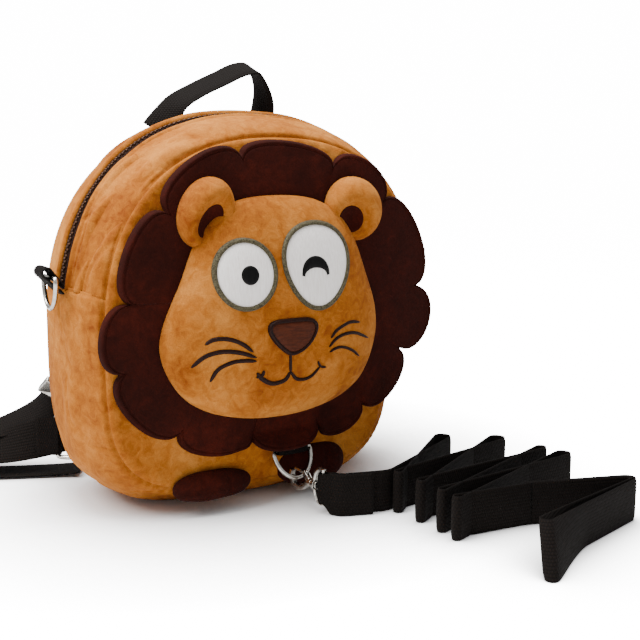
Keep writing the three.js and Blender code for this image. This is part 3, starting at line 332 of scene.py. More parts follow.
def front_relief(turn, row, base):
    arc, deep = turn * ARC_RADIUS, row * BAG_DEPTH
    left = smooth(1.75, 2.25, turn)
    slanted = np.stack([arc * 0.25, deep - 0.16 * arc, np.zeros_like(arc)], -1)
    folds = 8 * rough(slanted, 11.5, 1.3) * left + 2.2 * rough(slanted, 16, 5.2) - 2 * left
    creases = dip(rough(slanted, 15, 6.4), 0.055) * left + 0.6 * dip(rough(slanted, 22, 2.4), 0.05) * left
    middle = np.sin(np.pi * np.clip(deep / (ZIPPER_BEHIND_FRONT - FOLDLESS_LIP), 0, 1)) ** 0.7
    edge = ZIPPER_BEHIND_FRONT - ZIPPER_WIDTH / 2 - deep
    lip = 0.7 * dip(edge - 2, 1.7) - 0.9 * dip(edge - STITCH_FROM_ZIPPER, 0.7) - 1.2 * dip(edge, 1)
    return soft_lumps(base) - 0.6 + (folds - 2.4 * creases) * middle + lip - 2.0 * dip(deep, 1.2)


def rear_relief(turn, row, base):
    arc, deep = turn * ARC_RADIUS, row * BAG_DEPTH
    edge = deep - ZIPPER_BEHIND_FRONT - ZIPPER_WIDTH / 2
    swells = 1.5 * rough(np.stack([arc, deep * 0.4, np.zeros_like(arc)], -1), 34, 9.4)
    lip = 1.5 * dip(edge - 1.8, 1.8) - 0.8 * dip(edge - STITCH_FROM_ZIPPER, 0.7) - 1.2 * dip(edge, 0.6)
    slump = 6 * smooth(2.1, 2.75, turn) * np.clip(edge / 14, 0, 1)
    seam = 2.0 * dip(BAG_DEPTH - deep, 1.2)
    return soft_lumps(base) + swells * np.clip(edge / 8, 0, 1) + lip - slump - seam


def lower_relief(turn, row, base):
    deep = row * BAG_DEPTH
    arc = turn * ARC_RADIUS
    seam = np.minimum(deep, BAG_DEPTH - deep)
    from_side = np.minimum(turn - (math.pi - side_angle), 2 * math.pi + side_angle - turn) * ARC_RADIUS
    hang = np.stack([base[..., 0], base[..., 1], base[..., 2] * 0.35], -1)
    waves = 3.2 * rough(hang, 24, 2.2) * np.clip(seam / 14, 0, 1)
    pucker = 0.2 * np.sin(arc * 2 * np.pi / 9.5 + 2 * rough(base, 30, 4.4)) * dip(seam - 3, 5)
    rear = smooth(25, 55, deep) * (base[..., 0] < 0)
    slump = 6 * rear * (smooth(20, 60, base[..., 2]) - 0.75 * dip(base[..., 2] - 116, 11))
    dent = 3.2 * dip(base[..., 2] - 88 - 0.25 * (deep - 30), 6) * dip(deep - 42, 18) * (base[..., 0] < 0)
    short_seams = sum(dip(base[..., 2] - height, 0.9) * (base[..., 0] < 0) * smooth(17, 9, deep)
                      for height in (44, 14.5))
    creases = 0.8 * dip(rough(hang, 30, 7.2), 0.035) * smooth(6, 20, seam)
    return (soft_lumps(base) + waves + pucker - creases - slump - dent - 2.0 * dip(seam, 1.2)
            - 1.8 * dip(from_side, 1.0) - 0.9 * short_seams)


SEAM_LAP = 1.2
lap_turn, lap_row = SEAM_LAP / BAG_HALF_WIDTH, SEAM_LAP / BAG_DEPTH
upper = (side_angle - lap_turn / 2, math.pi - side_angle + lap_turn / 2)
lower = (math.pi - side_angle - lap_turn / 2, 2 * math.pi + side_angle + lap_turn / 2)
strip("gusset_plush_front", upper, (-lap_row, zipper_row - half_zipper), 240, 46,
      front_relief, ["gusset_front"])
strip("gusset_plush_rear", upper, (zipper_row + half_zipper, 1 + lap_row), 200, 52,
      rear_relief, ["gusset_rear"])
strip("gusset_plush_lower", lower, (-lap_row, 1 + lap_row), 420, 96, lower_relief, ["gusset_lower"])

# Zipper: two woven tapes sewn under the gusset's lips, with lacquered metal teeth clamped along them.
# The tapes dip between the lips, and the teeth mesh in the middle. The weave is drawn a little coarse,
# with ribs and yarns this many millimetres apart, so that it shows.
RIB_PITCH, YARN_PITCH = 1.5, 1.9


def webbing_surface(name, dark, light):
    """Woven webbing: rows of small ribs across it, from its own length and width."""
    made = Surface(name, 0.85)
    spread = made.node("ShaderNodeSeparateXYZ", [("Vector", made.place.outputs["UV"])])
    along, across = spread.outputs[0], spread.outputs[1]
    rib, yarn = 2 * math.pi / RIB_PITCH, 2 * math.pi / YARN_PITCH
    wave = made.math("SINE", made.math("MULTIPLY", across, yarn / 2))
    shift = made.math("MULTIPLY", made.math("SIGN", wave), 1.57)
    ribs = made.math("SINE", made.math("ADD", made.math("MULTIPLY", along, rib), shift))
    yarns = made.math("ABSOLUTE", wave)
    weave = made.math("ADD", made.math("MULTIPLY", ribs, 0.3), made.math("MULTIPLY", yarns, 0.5))
    fuzz = made.noise(700, 3, 0.6)
    height = made.math("ADD", weave, made.math("MULTIPLY", fuzz, 0.4))
    color = made.ramp(height, [(0.1, dark), (0.95, light)])
    return made.finish(color, height, 0.0005, 0.7)


zipper_tape = webbing_surface("zipper_tape_weave", "#140703", "#2C1409")
tape_rows = np.linspace(zipper_row - half_zipper - 0.01, zipper_row + half_zipper + 0.01, 9)
turn, row = np.meshgrid(np.linspace(*upper, 220), tape_rows, indexing="ij")
tape = skin(turn, row)
tape_out = away_from(tape, BAG_CENTER)
from_middle = np.abs(row - zipper_row) * BAG_DEPTH
tape_top = tape - tape_out * (1.3 - 0.3 * dip(from_middle, 1.4))[..., None]
points, faces = wall(tape_top, tape - tape_out * 3.2)
arc = (turn * ARC_RADIUS)[..., None]
piece("zipper_tapes", points, faces, zipper_tape, ["zipper_tape"],
      uv=np.tile(np.concatenate([arc, from_middle[..., None]], -1).reshape(-1, 2), (2, 1)))
# Brown lacquer over metal gives a dull gloss, warmer where it has worn
lacquer_made = Surface("brown_lacquered_metal", 0.4, metallic=0.6)
lacquer_wear = lacquer_made.noise(300, 3, 0.6)
lacquer = lacquer_made.finish(lacquer_made.ramp(lacquer_wear, [(0.3, "#3A2416"), (0.7, "#573924")]),
                              lacquer_wear, 0.0002, 0.2)
TOOTH_PITCH, ZIPPER_RADIUS = 1.6, 118
tooth_turns = np.arange(upper[0] + 0.02, upper[1] - 0.02, TOOTH_PITCH / ZIPPER_RADIUS)
teeth, tooth_faces = [], []
for k, angle in enumerate(tooth_turns):
    side = 1 if k % 2 else -1
    middle = skin(angle, zipper_row)
    along = skin(angle + 0.004, zipper_row) - middle
    along /= np.linalg.norm(along)
    out = np.cross(along, (0, 1, 0))
    out *= np.sign(np.dot(out, middle - BAG_CENTER))
    middle = middle - out * 0.6 + np.array((0, side * 0.7, 0))
    ring = [(-0.5, -1.1), (0.5, -1.1), (0.5, 1.1), (-0.5, 1.1)]
    start = len(teeth)
    teeth += [middle + along * a * shrink + np.array((0, b * shrink, 0)) + out * h
              for h, shrink in ((-0.4, 1), (0.25, 1), (0.5, 0.6)) for a, b in ring]
    tooth_faces += [(start, start + 3, start + 2, start + 1), (start + 8, start + 9, start + 10, start + 11)]
    tooth_faces += [(start + h + i, start + h + (i + 1) % 4, start + h + 4 + (i + 1) % 4, start + h + 4 + i)
                    for h in (0, 4) for i in range(4)]
piece("zipper_teeth", teeth, tooth_faces, lacquer)

# Front and back panels: plush cut to the bag's outline and lightly domed by what the bag holds. Both are
# sewn to the gusset all round, which draws them in and puckers them.


def pad(outline, middle, shares, front, behind):
    """Points and faces of a closed pad: its outline shrinks to its middle in rings."""
    outline, middle = np.asarray(outline, float), np.asarray(middle, float)
    count = len(outline)
    points, faces = [], []
    for depth in (front, behind):
        start = len(points)
        y = depth(middle[:1], middle[1:], 0.0)
        points.append((middle[0], float(np.ravel(y)[0]), middle[1]))
        for share in shares:
            flat = middle + (outline - middle) * share
            y = np.broadcast_to(depth(flat[:, 0], flat[:, 1], share), count)
            points += list(np.stack([flat[:, 0], y, flat[:, 1]], -1))
        for i in range(count):
            after = (i + 1) % count
            faces.append((start, start + 1 + i, start + 1 + after))
            for k in range(len(shares) - 1):
                low = start + 1 + k * count
                faces.append((low + i, low + count + i, low + count + after, low + after))
    last = 1 + (len(shares) - 1) * count
    half = len(points) // 2
    for i in range(count):
        after = (i + 1) % count
        faces.append((last + i, half + last + i, half + last + after, last + after))
    return np.array(points), faces


OUTLINE_STEPS = 260
panel_turns = 2 * np.pi * np.arange(OUTLINE_STEPS) / OUTLINE_STEPS
front_outline, back_outline = (skin(panel_turns, row)[:, [0, 2]] for row in (0.0, 1.0))
PANEL_MIDDLE = (0, (SEAM_TOP + SEAM_BOTTOM) / 2)
panel_rings = np.concatenate([np.linspace(0.08, 0.86, 12), [0.89, 0.92, 0.945, 0.965, 0.98, 0.992, 1]])


def panel_relief(x, z, share, seed):
    ground = np.stack([x, np.zeros_like(x), z], -1)
    around = np.arctan2(z - PANEL_MIDDLE[1], x)
    edge = (1 - share) * 105
    lumps = 0.8 * rough(ground, 36, seed) + 0.3 * rough(ground, 13, seed + 4)
    pucker = 0.6 * np.sin(around * 62 + 3 * rough(ground, 40, seed + 2)) * dip(edge - 4, 5)
    roll = 1.6 * (1 - np.clip(edge / 3.2, 0, 1)) ** 2
    return lumps * min(1, edge / 6) + pucker - roll


points, faces = pad(front_outline, PANEL_MIDDLE, panel_rings,
                    lambda x, z, s: panel_front(x, z) - panel_relief(x, z, s, 1.7),
                    lambda x, z, s: panel_front(x, z) + 2.4)
piece("panel_plush_front", points, faces, tan_plush, ["front_panel"])
points, faces = pad(back_outline, PANEL_MIDDLE, panel_rings,
                    lambda x, z, s: panel_back(x, z) + panel_relief(x, z, s, 6.3),
                    lambda x, z, s: panel_back(x, z) - 2.4)
piece("panel_plush_back", points, faces, tan_plush, ["back_panel"])

# Mane: a thin stuffed pad of brown plush, cut in scallops and sewn to the front panel. It has a rolled
# edge with a stitched groove inside it, and a crease runs in from each notch.
MANE_HALF_WIDTH, MANE_HEIGHT, MANE_BOTTOM, MANE_THICKNESS, MANE_GAP = 118, 183, 32, 4, 0.9
# One row a notch, as shares of the half width and height, and the bulge after it
MANE_LOBES = [
    (0.3, 0.91, 0.1), (-0.23, 0.945, 0.13), (-0.635, 0.78, 0.12), (-0.825, 0.51, 0.125),
    (-0.88, 0.3, 0.12), (-0.585, 0.1, 0.115), (-0.195, 0.06, 0.095), (0.2, 0.065, 0.115),
    (0.49, 0.11, 0.13), (0.735, 0.285, 0.16), (0.85, 0.5, 0.14), (0.63, 0.8, 0.13),
]


def mane_outline(steps):
    points = []
    for i, (across, up, bulge) in enumerate(MANE_LOBES):
        after = MANE_LOBES[(i + 1) % len(MANE_LOBES)]
        start = np.array([across * MANE_HALF_WIDTH, MANE_BOTTOM + up * MANE_HEIGHT])
        along = np.array([after[0] * MANE_HALF_WIDTH, MANE_BOTTOM + after[1] * MANE_HEIGHT]) - start
        out = np.array([along[1], -along[0]]) / np.hypot(*along)
        for k in range(steps):
            turn = math.pi * k / steps
            reach = bulge * MANE_HALF_WIDTH * math.sin(turn) ** 0.8
            points.append(start + along * (1 - math.cos(turn)) / 2 + out * reach)
    points = np.array(points)
    points[:, 0] *= np.where(points[:, 0] < 0, 0.974, 1)
    return points


# The mane is held off the bag over the front tab
TAB_LIFT, LIFT_HALF_WIDTH, LIFT_TOP, LIFT_EASE = 8, 30, 45, 10


def mane_back(x, z):
    aside = np.maximum(0, 1 - (x / LIFT_HALF_WIDTH) ** 4)
    lift = TAB_LIFT * aside * np.clip((LIFT_TOP - z) / LIFT_EASE, 0, 1)
    return panel_front(x, z) - MANE_GAP - lift


def mane_surface(x, z):
    return mane_back(x, z) - MANE_THICKNESS


brown_plush = plush("brushed_brown_plush",
                    [(0.36, "#240500"), (0.52, "#300902"), (0.68, "#401005")], 0.0, "#A5583A", 5)
MANE_STEPS = 22
outline = mane_outline(MANE_STEPS)
MANE_MIDDLE = np.array([0, MANE_BOTTOM + MANE_HEIGHT / 2])
notches = outline[::MANE_STEPS]
mane_rings = np.concatenate([np.linspace(0.3, 0.84, 10), np.linspace(0.86, 0.94, 7),
                             np.linspace(0.946, 0.988, 15), [0.992, 0.996, 1]])


def mane_relief(x, z, share):
    reach = np.hypot(x - MANE_MIDDLE[0], z - MANE_MIDDLE[1]) / max(share, 1e-6)
    edge = (1 - share) * reach
    ground = np.stack([x, np.zeros_like(x), z], -1)
    thick = MANE_THICKNESS * np.sqrt(np.clip(1 - np.clip(1 - edge / 1.8, 0, 1) ** 2, 0.02, 1))
    groove = 0.6 * dip(edge - 3.1, 0.55)
    crease = np.zeros_like(x)
    for notch in notches:
        inward = (MANE_MIDDLE - notch) / np.linalg.norm(MANE_MIDDLE - notch)
        gap = np.stack([x, z], -1) - notch
        deep = gap @ inward
        beside = gap @ np.array([inward[1], -inward[0]])
        crease += dip(beside, 1.3 + np.maximum(deep, 0) * 0.06) * smooth(20, 2, deep) * (deep > -2)
    return thick - groove - 0.8 * crease + 0.5 * rough(ground, 22, 8.8) * np.minimum(1, edge / 5)


points, faces = pad(outline, MANE_MIDDLE, mane_rings,
                    lambda x, z, s: mane_back(x, z) - mane_relief(x, z, s), lambda x, z, s: mane_back(x, z))
mane_pad = piece("mane_pad", points, faces, brown_plush, ["mane"])

# Face: a full cushion of tan plush, sewn down on the mane round its edge. The seam pulls small tucks in
# under the chin.
FACE_HALF_WIDTH, FACE_HEIGHT, FACE_BOTTOM, FACE_OFFSET, FACE_PUFF = 73, 128, 54.5, -7, 17
# One row a height share, and the half width there
FACE_ROWS = [
    (1, 0.12), (0.985, 0.32), (0.95, 0.47), (0.88, 0.62), (0.78, 0.73), (0.64, 0.83), (0.5, 0.945),
    (0.39, 1), (0.3, 0.985), (0.2, 0.905), (0.11, 0.77), (0.04, 0.54), (0, 0.2),
]
FACE_MIDDLE = np.array([FACE_OFFSET, FACE_BOTTOM + 0.45 * FACE_HEIGHT])


def face_at(across, up):
    return np.array([FACE_OFFSET + across * FACE_HALF_WIDTH, FACE_BOTTOM + up * FACE_HEIGHT])


def rounded(points, steps):
    """A closed smooth curve through the given points."""
    points = np.asarray(points, float)
    count = len(points)
    out = []
    for i in range(count):
        a, b, c, d = (points[(i + k) % count] for k in (-1, 0, 1, 2))
        for k in range(steps):
            t = k / steps
            out.append(0.5 * (2 * b + (c - a) * t + (2 * a - 5 * b + 4 * c - d) * t ** 2
                              + (3 * b - a - 3 * c + d) * t ** 3))
    return np.array(out)


FACE_OUTLINE = rounded([face_at(-half, up) for up, half in FACE_ROWS]
                       + [face_at(half - 0.06 * math.exp(-((up - 0.33) / 0.2) ** 2), up)
                          for up, half in reversed(FACE_ROWS)], 4)
outline_angles = np.unwrap(np.arctan2(*(FACE_OUTLINE - FACE_MIDDLE).T[::-1]))
outline_reach = np.hypot(*(FACE_OUTLINE - FACE_MIDDLE).T)
outline_order = np.argsort(np.mod(outline_angles, 2 * np.pi))
FACE_ANGLES, FACE_REACH = np.mod(outline_angles, 2 * np.pi)[outline_order], outline_reach[outline_order]


def face_share(x, z):
    dx, dz = x - FACE_MIDDLE[0], z - FACE_MIDDLE[1]
    reach = np.interp(np.mod(np.arctan2(dz, dx), 2 * np.pi), FACE_ANGLES, FACE_REACH, period=2 * np.pi)
    return np.hypot(dx, dz) / reach


def face_puff(share):
    return FACE_PUFF * np.maximum(0, 1 - np.minimum(share, 1) ** 3.2) ** 0.6


def face_front(x, z):
    return mane_surface(x, z) - GAP - 1.5 - face_puff(face_share(x, z))


face_outline = rounded(FACE_OUTLINE[::2], 3)
face_rings = np.concatenate([np.linspace(0.05, 0.8, 24), np.linspace(0.83, 0.97, 12),
                             [0.98, 0.988, 0.994, 1]])


def face_surface(x, z):
    """The face's own front, with its lumps, for whatever is sewn on it."""
    x, z = np.asarray(x, float), np.asarray(z, float)
    ground = np.stack([x, np.zeros_like(x), z], -1)
    share = face_share(x, z)
    lumps = 0.5 * rough(ground, 34, 2.9) * np.clip((1 - share) * 6, 0, 1)
    chin = smooth(80, 66, z) * smooth(0.97, 0.86, share) * smooth(-70, -50, x) * smooth(22, 4, x)
    tucks = 0.9 * np.sin(x * 2 * np.pi / 10 + 2 * rough(ground, 25, 1.1)) * chin
    return face_front(x, z) - lumps - tucks


points, faces = pad(face_outline, FACE_MIDDLE, face_rings,
                    lambda x, z, s: face_surface(x, z) + (1.2 if s == 1 else 0),
                    lambda x, z, s: mane_surface(x, z) - GAP)
face_pad = piece("face_pad", points, faces, tan_plush, ["face"])


# Sewn lines and patches on the face: satin stitches, worked flat on the plush. Their threads lie side by
# side and catch the light along their length, and each follows the face's own front.


def thread(name, dark, light, along=(1, 1, 1), roughness=0.55, scale=900):
    """Satin stitches: fine bright threads lying side by side."""
    made = Surface(name, roughness, sheen=0.02)
    lines = made.noise(scale, 2, 0.6, 0.2, along)
    return made.finish(made.ramp(lines, [(0.35, dark), (0.65, light)]), lines, 0.0004, 0.5)


white_felt = thread("white_satin_embroidery", "#EAE3DE", "#F6F1ED", (1, 1, 0.12), 0.7, 1100)
rim_thread = thread("grey_olive_thread", "#2B271A", "#5C553F", (1, 1, 1), 0.6, 1300)
black_thread = thread("black_thread", "#010101", "#060505", (1, 1, 0.2), 0.5)
brown_thread = thread("dark_brown_thread", "#120301", "#230802", (1, 1, 1), 0.5)
nose_thread = thread("brown_satin_embroidery", "#3A1606", "#4A1F0B", (0.2, 1, 1), 0.55, 900)


def sewn_line(name, path, half_width, height, material, closed=False, nodes=(), taper=True):
    path = np.asarray(path, float)
    along = np.roll(path, -1, 0) - np.roll(path, 1, 0) if closed else np.gradient(path, axis=0)
    along /= np.linalg.norm(along, axis=1, keepdims=True)
    square = np.stack([-along[:, 1], along[:, 0]], -1)
    length = np.linspace(0, 1, len(path))
    narrow = np.sqrt(np.clip(1 - (2 * length - 1) ** 6, 0.05, 1)) if taper else 1
    width = half_width * narrow * np.ones(len(path))
    shares = np.sin(np.linspace(-np.pi / 2, np.pi / 2, 9))
    flat = path[:, None] + square[:, None] * (shares[None, :, None] * width[:, None, None])
    ground = face_surface(flat[..., 0], flat[..., 1])
    top = ground - 0.15 - height * np.sqrt(1 - shares ** 2 * 0.98)[None]
    outer = np.stack([flat[..., 0], top, flat[..., 1]], -1)
    inner = np.stack([flat[..., 0], ground + 0.5, flat[..., 1]], -1)
    points, faces = wall(outer, inner, closed)
    return piece(name, points, faces, material, nodes)


def open_curve(points, steps=8):
    points = np.asarray(points, float)
    ends = np.vstack([2 * points[0] - points[1], points, 2 * points[-1] - points[-2]])
    out = []
    for i in range(len(points) - 1):
        a, b, c, d = ends[i:i + 4]
        for k in range(steps):
            t = k / steps
            out.append(0.5 * (2 * b + (c - a) * t + (2 * a - 5 * b + 4 * c - d) * t ** 2
                              + (3 * b - a - 3 * c + d) * t ** 3))
    return np.array(out + [points[-1]])


def oval(middle, half_width, half_height, steps=72, narrowing=0.0):
    turn = 2 * np.pi * np.arange(steps) / steps
    across = half_width * np.cos(turn) * (1 + narrowing * np.sin(turn))
    return np.stack([middle[0] + across, middle[1] + half_height * np.sin(turn)], -1)


PATCH_RINGS = [0.2, 0.4, 0.6, 0.75, 0.88, 0.95, 1]


def patch(name, outline, middle, lift, material, nodes):
    def front(x, z, share):
        return face_surface(x, z) - lift * math.sqrt(max(0.05, 1 - share ** 8))
    points, faces = pad(outline, middle, PATCH_RINGS, front, lambda x, z, s: face_surface(x, z) + 0.4)
    return piece(name, points, faces, material, nodes)


# Eyes: white ovals stitched on the face, each with a raised rim of grey-olive thread. Only the left one
# has a pupil.
for side, (across, up), half_width, half_height, narrowing in (
        ("left", (-0.403, 0.674), 16.2, 17.8, 0), ("right", (0.226, 0.695), 21.4, 23.2, 0.2)):
    middle = face_at(across, up)
    patch(f"eye_{side}_white", oval(middle, half_width, half_height, 72, narrowing), middle, 1.0, white_felt,
          [f"eye_white_{side}"])
    sewn_line(f"eye_{side}_rim", oval(middle, half_width + 1, half_height + 1, 110, narrowing), 1.35, 1.5,
              rim_thread, True, [f"eye_rim_{side}"], False)
pupil = face_at(-0.38, 0.672)
patch("pupil", oval(pupil, 5.4, 5.6, 40), pupil, 1.7, black_thread, ["pupil_left"])

# Wink and nose: the right eye's crescent is one dense band of black thread. The nose is brown satin
# stitch, framed by a darker sewn line.
half = np.linspace(0, np.pi, 41)
wink_middle = face_at(0.188, 0.657)
outer_arc = np.stack([wink_middle[0] + 9.4 * np.cos(half), wink_middle[1] + 10.6 * np.sin(half) ** 0.85], -1)
inner_arc = np.stack([wink_middle[0] + 7.6 * np.cos(half), wink_middle[1] - 0.6 + 4.6 * np.sin(half)], -1)
shares = np.linspace(0, 1, 9)[None, :, None]
flat = outer_arc[:, None] * (1 - shares) + inner_arc[:, None] * shares
ground = face_surface(flat[..., 0], flat[..., 1])
bulge = np.sqrt(1 - (2 * shares[..., 0] - 1) ** 2 * 0.97)
points, faces = wall(np.stack([flat[..., 0], ground - 1.0 - 0.7 * bulge, flat[..., 1]], -1),
                     np.stack([flat[..., 0], ground - 0.3, flat[..., 1]], -1))
piece("wink", points, faces, black_thread, ["wink_right"])
NOSE = [(-0.045, 0.318), (-0.136, 0.354), (-0.207, 0.402), (-0.225, 0.439), (-0.182, 0.459), (-0.05, 0.463),
        (0.113, 0.46), (0.179, 0.441), (0.179, 0.405), (0.125, 0.358), (0.045, 0.326)]
nose_outline = rounded([face_at(*row) for row in NOSE], 6)
nose_middle = face_at(-0.02, 0.405)
patch("nose_patch", nose_outline, nose_middle, 2.2, nose_thread, ["nose"])
sewn_line("nose_border", nose_outline, 1.3, 2.1, brown_thread, True, (), False)

# Mouth and whiskers: single satin lines in dark brown thread, stitched through the face's plush.
# One row a line: its half width, and its points as shares of the face.
LINES = {
    "mouth_stem": (0.85, [(-0.045, 0.322), (-0.041, 0.276), (-0.034, 0.23)]),
    "mouth_right": (1.0, [(-0.034, 0.232), (0.027, 0.195), (0.104, 0.187), (0.176, 0.201), (0.235, 0.235)]),
    "mouth_tick_right": (0.7, [(0.214, 0.265), (0.247, 0.238), (0.3, 0.231)]),
    "mouth_left": (1.3, [(-0.034, 0.232), (-0.08, 0.194), (-0.184, 0.185), (-0.275, 0.212), (-0.325, 0.243)]),
    "mouth_tick_left": (1.0, [(-0.266, 0.25), (-0.281, 0.228), (-0.327, 0.222)]),
    "whisker_left_top": (1.2,
        [(-0.734, 0.384), (-0.67, 0.404), (-0.565, 0.403), (-0.456, 0.379), (-0.365, 0.339)]),
    "whisker_left_middle": (1.25,
        [(-0.823, 0.284), (-0.732, 0.331), (-0.609, 0.349), (-0.47, 0.34), (-0.338, 0.313)]),
    "whisker_left_low": (1.15,
        [(-0.682, 0.217), (-0.632, 0.27), (-0.53, 0.298), (-0.427, 0.302), (-0.337, 0.297)]),
    "whisker_right_top": (0.95,
        [(0.336, 0.364), (0.384, 0.394), (0.455, 0.413), (0.54, 0.426), (0.643, 0.419)]),
    "whisker_right_middle": (0.95,
        [(0.319, 0.324), (0.386, 0.357), (0.478, 0.374), (0.599, 0.371), (0.766, 0.334)]),
    "whisker_right_low": (0.85,
        [(0.327, 0.3), (0.391, 0.314), (0.464, 0.314), (0.566, 0.292), (0.659, 0.256)]),
}
for name, (half_width, rows) in LINES.items():
    curve = open_curve([face_at(*row) for row in rows])
    sewn_line(name, curve, half_width, 0.9, brown_thread)

# Ears: plump lobes of tan plush rolled round a hollow, lined with brown plush and sewn to the mane.
# One row an ear: its place, half sizes and tilt, then the same of its hollow.
EARS = {
    "left": ((-0.61, 0.935), (15.5, 20.5), -0.5, (-0.6, 0.9), (7.5, 13), -0.62),
    "right": ((0.73, 0.93), (20.5, 19), 0, (0.67, 0.885), (10.5, 10), -0.3),
}
ear_rings = np.concatenate([np.linspace(0.08, 0.8, 14), [0.86, 0.9, 0.94, 0.97, 0.99, 1]])


def turned(points, tilt):
    c, s = math.cos(tilt), math.sin(tilt)
    return np.stack([points[..., 0] * c - points[..., 1] * s, points[..., 0] * s + points[..., 1] * c], -1)


for side, (place, size, tilt, hollow, hollow_size, hollow_tilt) in EARS.items():
    middle, hollow = face_at(*place), face_at(*hollow)

    def ear_front(x, z):
        own = turned(np.stack([x - middle[0], z - middle[1]], -1), -tilt)
        share = np.minimum(np.hypot(own[..., 0] / size[0], own[..., 1] / size[1]), 1)
        inner = turned(np.stack([x - hollow[0], z - hollow[1]], -1), -hollow_tilt)
        near = np.hypot(inner[..., 0] / hollow_size[0], inner[..., 1] / hollow_size[1])
        ground = np.stack([x, np.zeros_like(x), z], -1)
        puff = 1 + 11.5 * np.sqrt(np.clip(1 - share ** 2.6, 0, 1)) - 10 * np.exp(-near ** 3)
        return mane_surface(x, z) - GAP - puff - 0.4 * rough(ground, 12, 3.3)

    outline = middle + turned(oval((0, 0), *size, 64), tilt)
    points, faces = pad(outline, middle, ear_rings, lambda x, z, s: ear_front(x, z),
                        lambda x, z, s: mane_surface(x, z) - GAP)
    piece(f"ear_{side}_roll", points, faces, tan_plush, [f"ear_{side}"])
    rim = hollow + turned(oval((0, 0), hollow_size[0] * 0.8, hollow_size[1] * 0.8, 40), hollow_tilt)
    points, faces = pad(rim, hollow, PATCH_RINGS,
                        lambda x, z, s: ear_front(x, z) - 0.7 * math.sqrt(max(0.02, 1 - s ** 6)),
                        lambda x, z, s: ear_front(x, z) + 0.5)
    piece(f"ear_{side}_lining", points, faces, brown_plush, [f"inner_ear_{side}"])

# Feet: stuffed paws of brown plush at the foot of the bag, with two creases between the toes.
# One row a foot: across, ahead and lowest point, then its width and height.
FEET = {"left": (-46, -53, 8, 50, 17), "right": (23, -50, 6, 48, 25)}
for side, (x, y, low, width, height) in FEET.items():
    turn, tip = np.meshgrid(np.linspace(0, 2 * np.pi, 97)[:-1],
                            np.linspace(-np.pi / 2, np.pi / 2, 33), indexing="ij")
    around = power(np.cos(tip), 2.3)
    local_x = power(np.cos(turn), 2.5) * around
    local_z = power(np.sin(turn), 2.3) * around
    local_y = -np.sin(tip)
    creases = sum(dip(local_x - c, 0.07) for c in (-0.33, 0.33)) * smooth(-0.2, -0.9, local_y)
    shrink = 1 - 0.1 * creases
    grid = np.stack([x + width / 2 * local_x * shrink, y + 8.5 * local_y * shrink + 1.5,
                     low + height / 2 * (1 + local_z * shrink)], -1)
    grid = grid + 0.35 * rough(grid, 14, 5.5)[..., None]
    index = np.arange(grid[..., 0].size).reshape(grid.shape[:2])
    after = np.roll(index, -1, 0)
    faces = list(np.stack([index[:, :-1], after[:, :-1], after[:, 1:], index[:, 1:]], -1).reshape(-1, 4))
    faces += [index[:, 0], index[::-1, -1]]
    paw = piece(f"paw_{side}", grid.reshape(-1, 3), faces, brown_plush, [f"foot_{side}"])


# Webbing: woven brown strap with rounded selvedges, cut to length and sewn at its ends. Each strip is
# made between its two edges.
webbing = webbing_surface("woven_brown_webbing", "#040201", "#110A06")
WEBBING, WEBBING_WIDTH, WIRE = 1.6, 25, 3
PEG = WIRE / 2 + GAP + WEBBING / 2


def webbing_strip(name, low, high, nodes, thickness=WEBBING):
    low, high = np.asarray(low, float), np.asarray(high, float)
    middle = (low + high) / 2
    along = np.gradient(middle, axis=0)
    out = np.cross(along, high - low)
    out /= np.linalg.norm(out, axis=1, keepdims=True)
    shares = 0.5 + 0.5 * np.sin(np.linspace(-np.pi / 2, np.pi / 2, 11))
    thick = thickness / 2 * np.clip(1 - np.abs(2 * shares - 1) ** 10, 0.25, 1)
    center = low[:, None] + (high - low)[:, None] * shares[None, :, None]
    lift = out[:, None] * thick[None, :, None]
    length = np.concatenate([[0], np.cumsum(np.linalg.norm(np.diff(middle, axis=0), axis=1))])
    width = np.linalg.norm(high - low, axis=1)
    uv = np.stack(np.broadcast_arrays(length[:, None], width[:, None] * shares[None]), -1).reshape(-1, 2)
    outer, inner = center + lift, center - lift
    outer[..., 2], inner[..., 2] = np.maximum(outer[..., 2], 0), np.maximum(inner[..., 2], 0)
    points, faces = wall(outer, inner)
    return piece(name, points, faces, webbing, nodes, uv=np.tile(uv, (2, 1)))


def ribbon(name, path, widths, nodes, width=WEBBING_WIDTH, thickness=WEBBING):
    path, widths = np.asarray(path, float), np.asarray(widths, float)
    along = np.gradient(path, axis=0)
    along /= np.linalg.norm(along, axis=1, keepdims=True)
    across = widths - along * np.sum(widths * along, 1, keepdims=True)
    across /= np.linalg.norm(across, axis=1, keepdims=True)
    return webbing_strip(name, path - across * width / 2, path + across * width / 2, nodes, thickness)


def belt(start, pegs, end, step=0.14):
    """A flat path that leaves the start, wraps each peg (x, y, radius, turn) and reaches the end."""
    stops = [(*start, 0, 1), *pegs, (*end, 0, 1)]
    headings = []
    for (ax, ay, ar, at), (bx, by, br, bt) in zip(stops, stops[1:]):
        distance = math.hypot(bx - ax, by - ay)
        headings.append(math.atan2(by - ay, bx - ax) + math.asin((at * ar - bt * br) / distance))
    path = [start]
    for (x, y, r, way), before, after in zip(pegs, headings, headings[1:]):
        sweep = (after - before) * way % (2 * math.pi) * way
        steps = max(2, math.ceil(abs(sweep) / step))
        path += [(x + way * r * math.sin(h), y - way * r * math.cos(h))
                 for h in (before + sweep * k / steps for k in range(steps + 1))]
    return np.array([*path, end], float)


def even(path, step=2.0):
    """The same path with points about every few millimetres."""
    path = np.asarray(path, float)
    length = np.concatenate([[0], np.cumsum(np.linalg.norm(np.diff(path, axis=0), axis=1))])
    places = np.unique(np.concatenate([length, np.arange(0, length[-1], step)]))
    return np.stack([np.interp(places, length, path[:, k]) for k in range(path.shape[1])], -1)


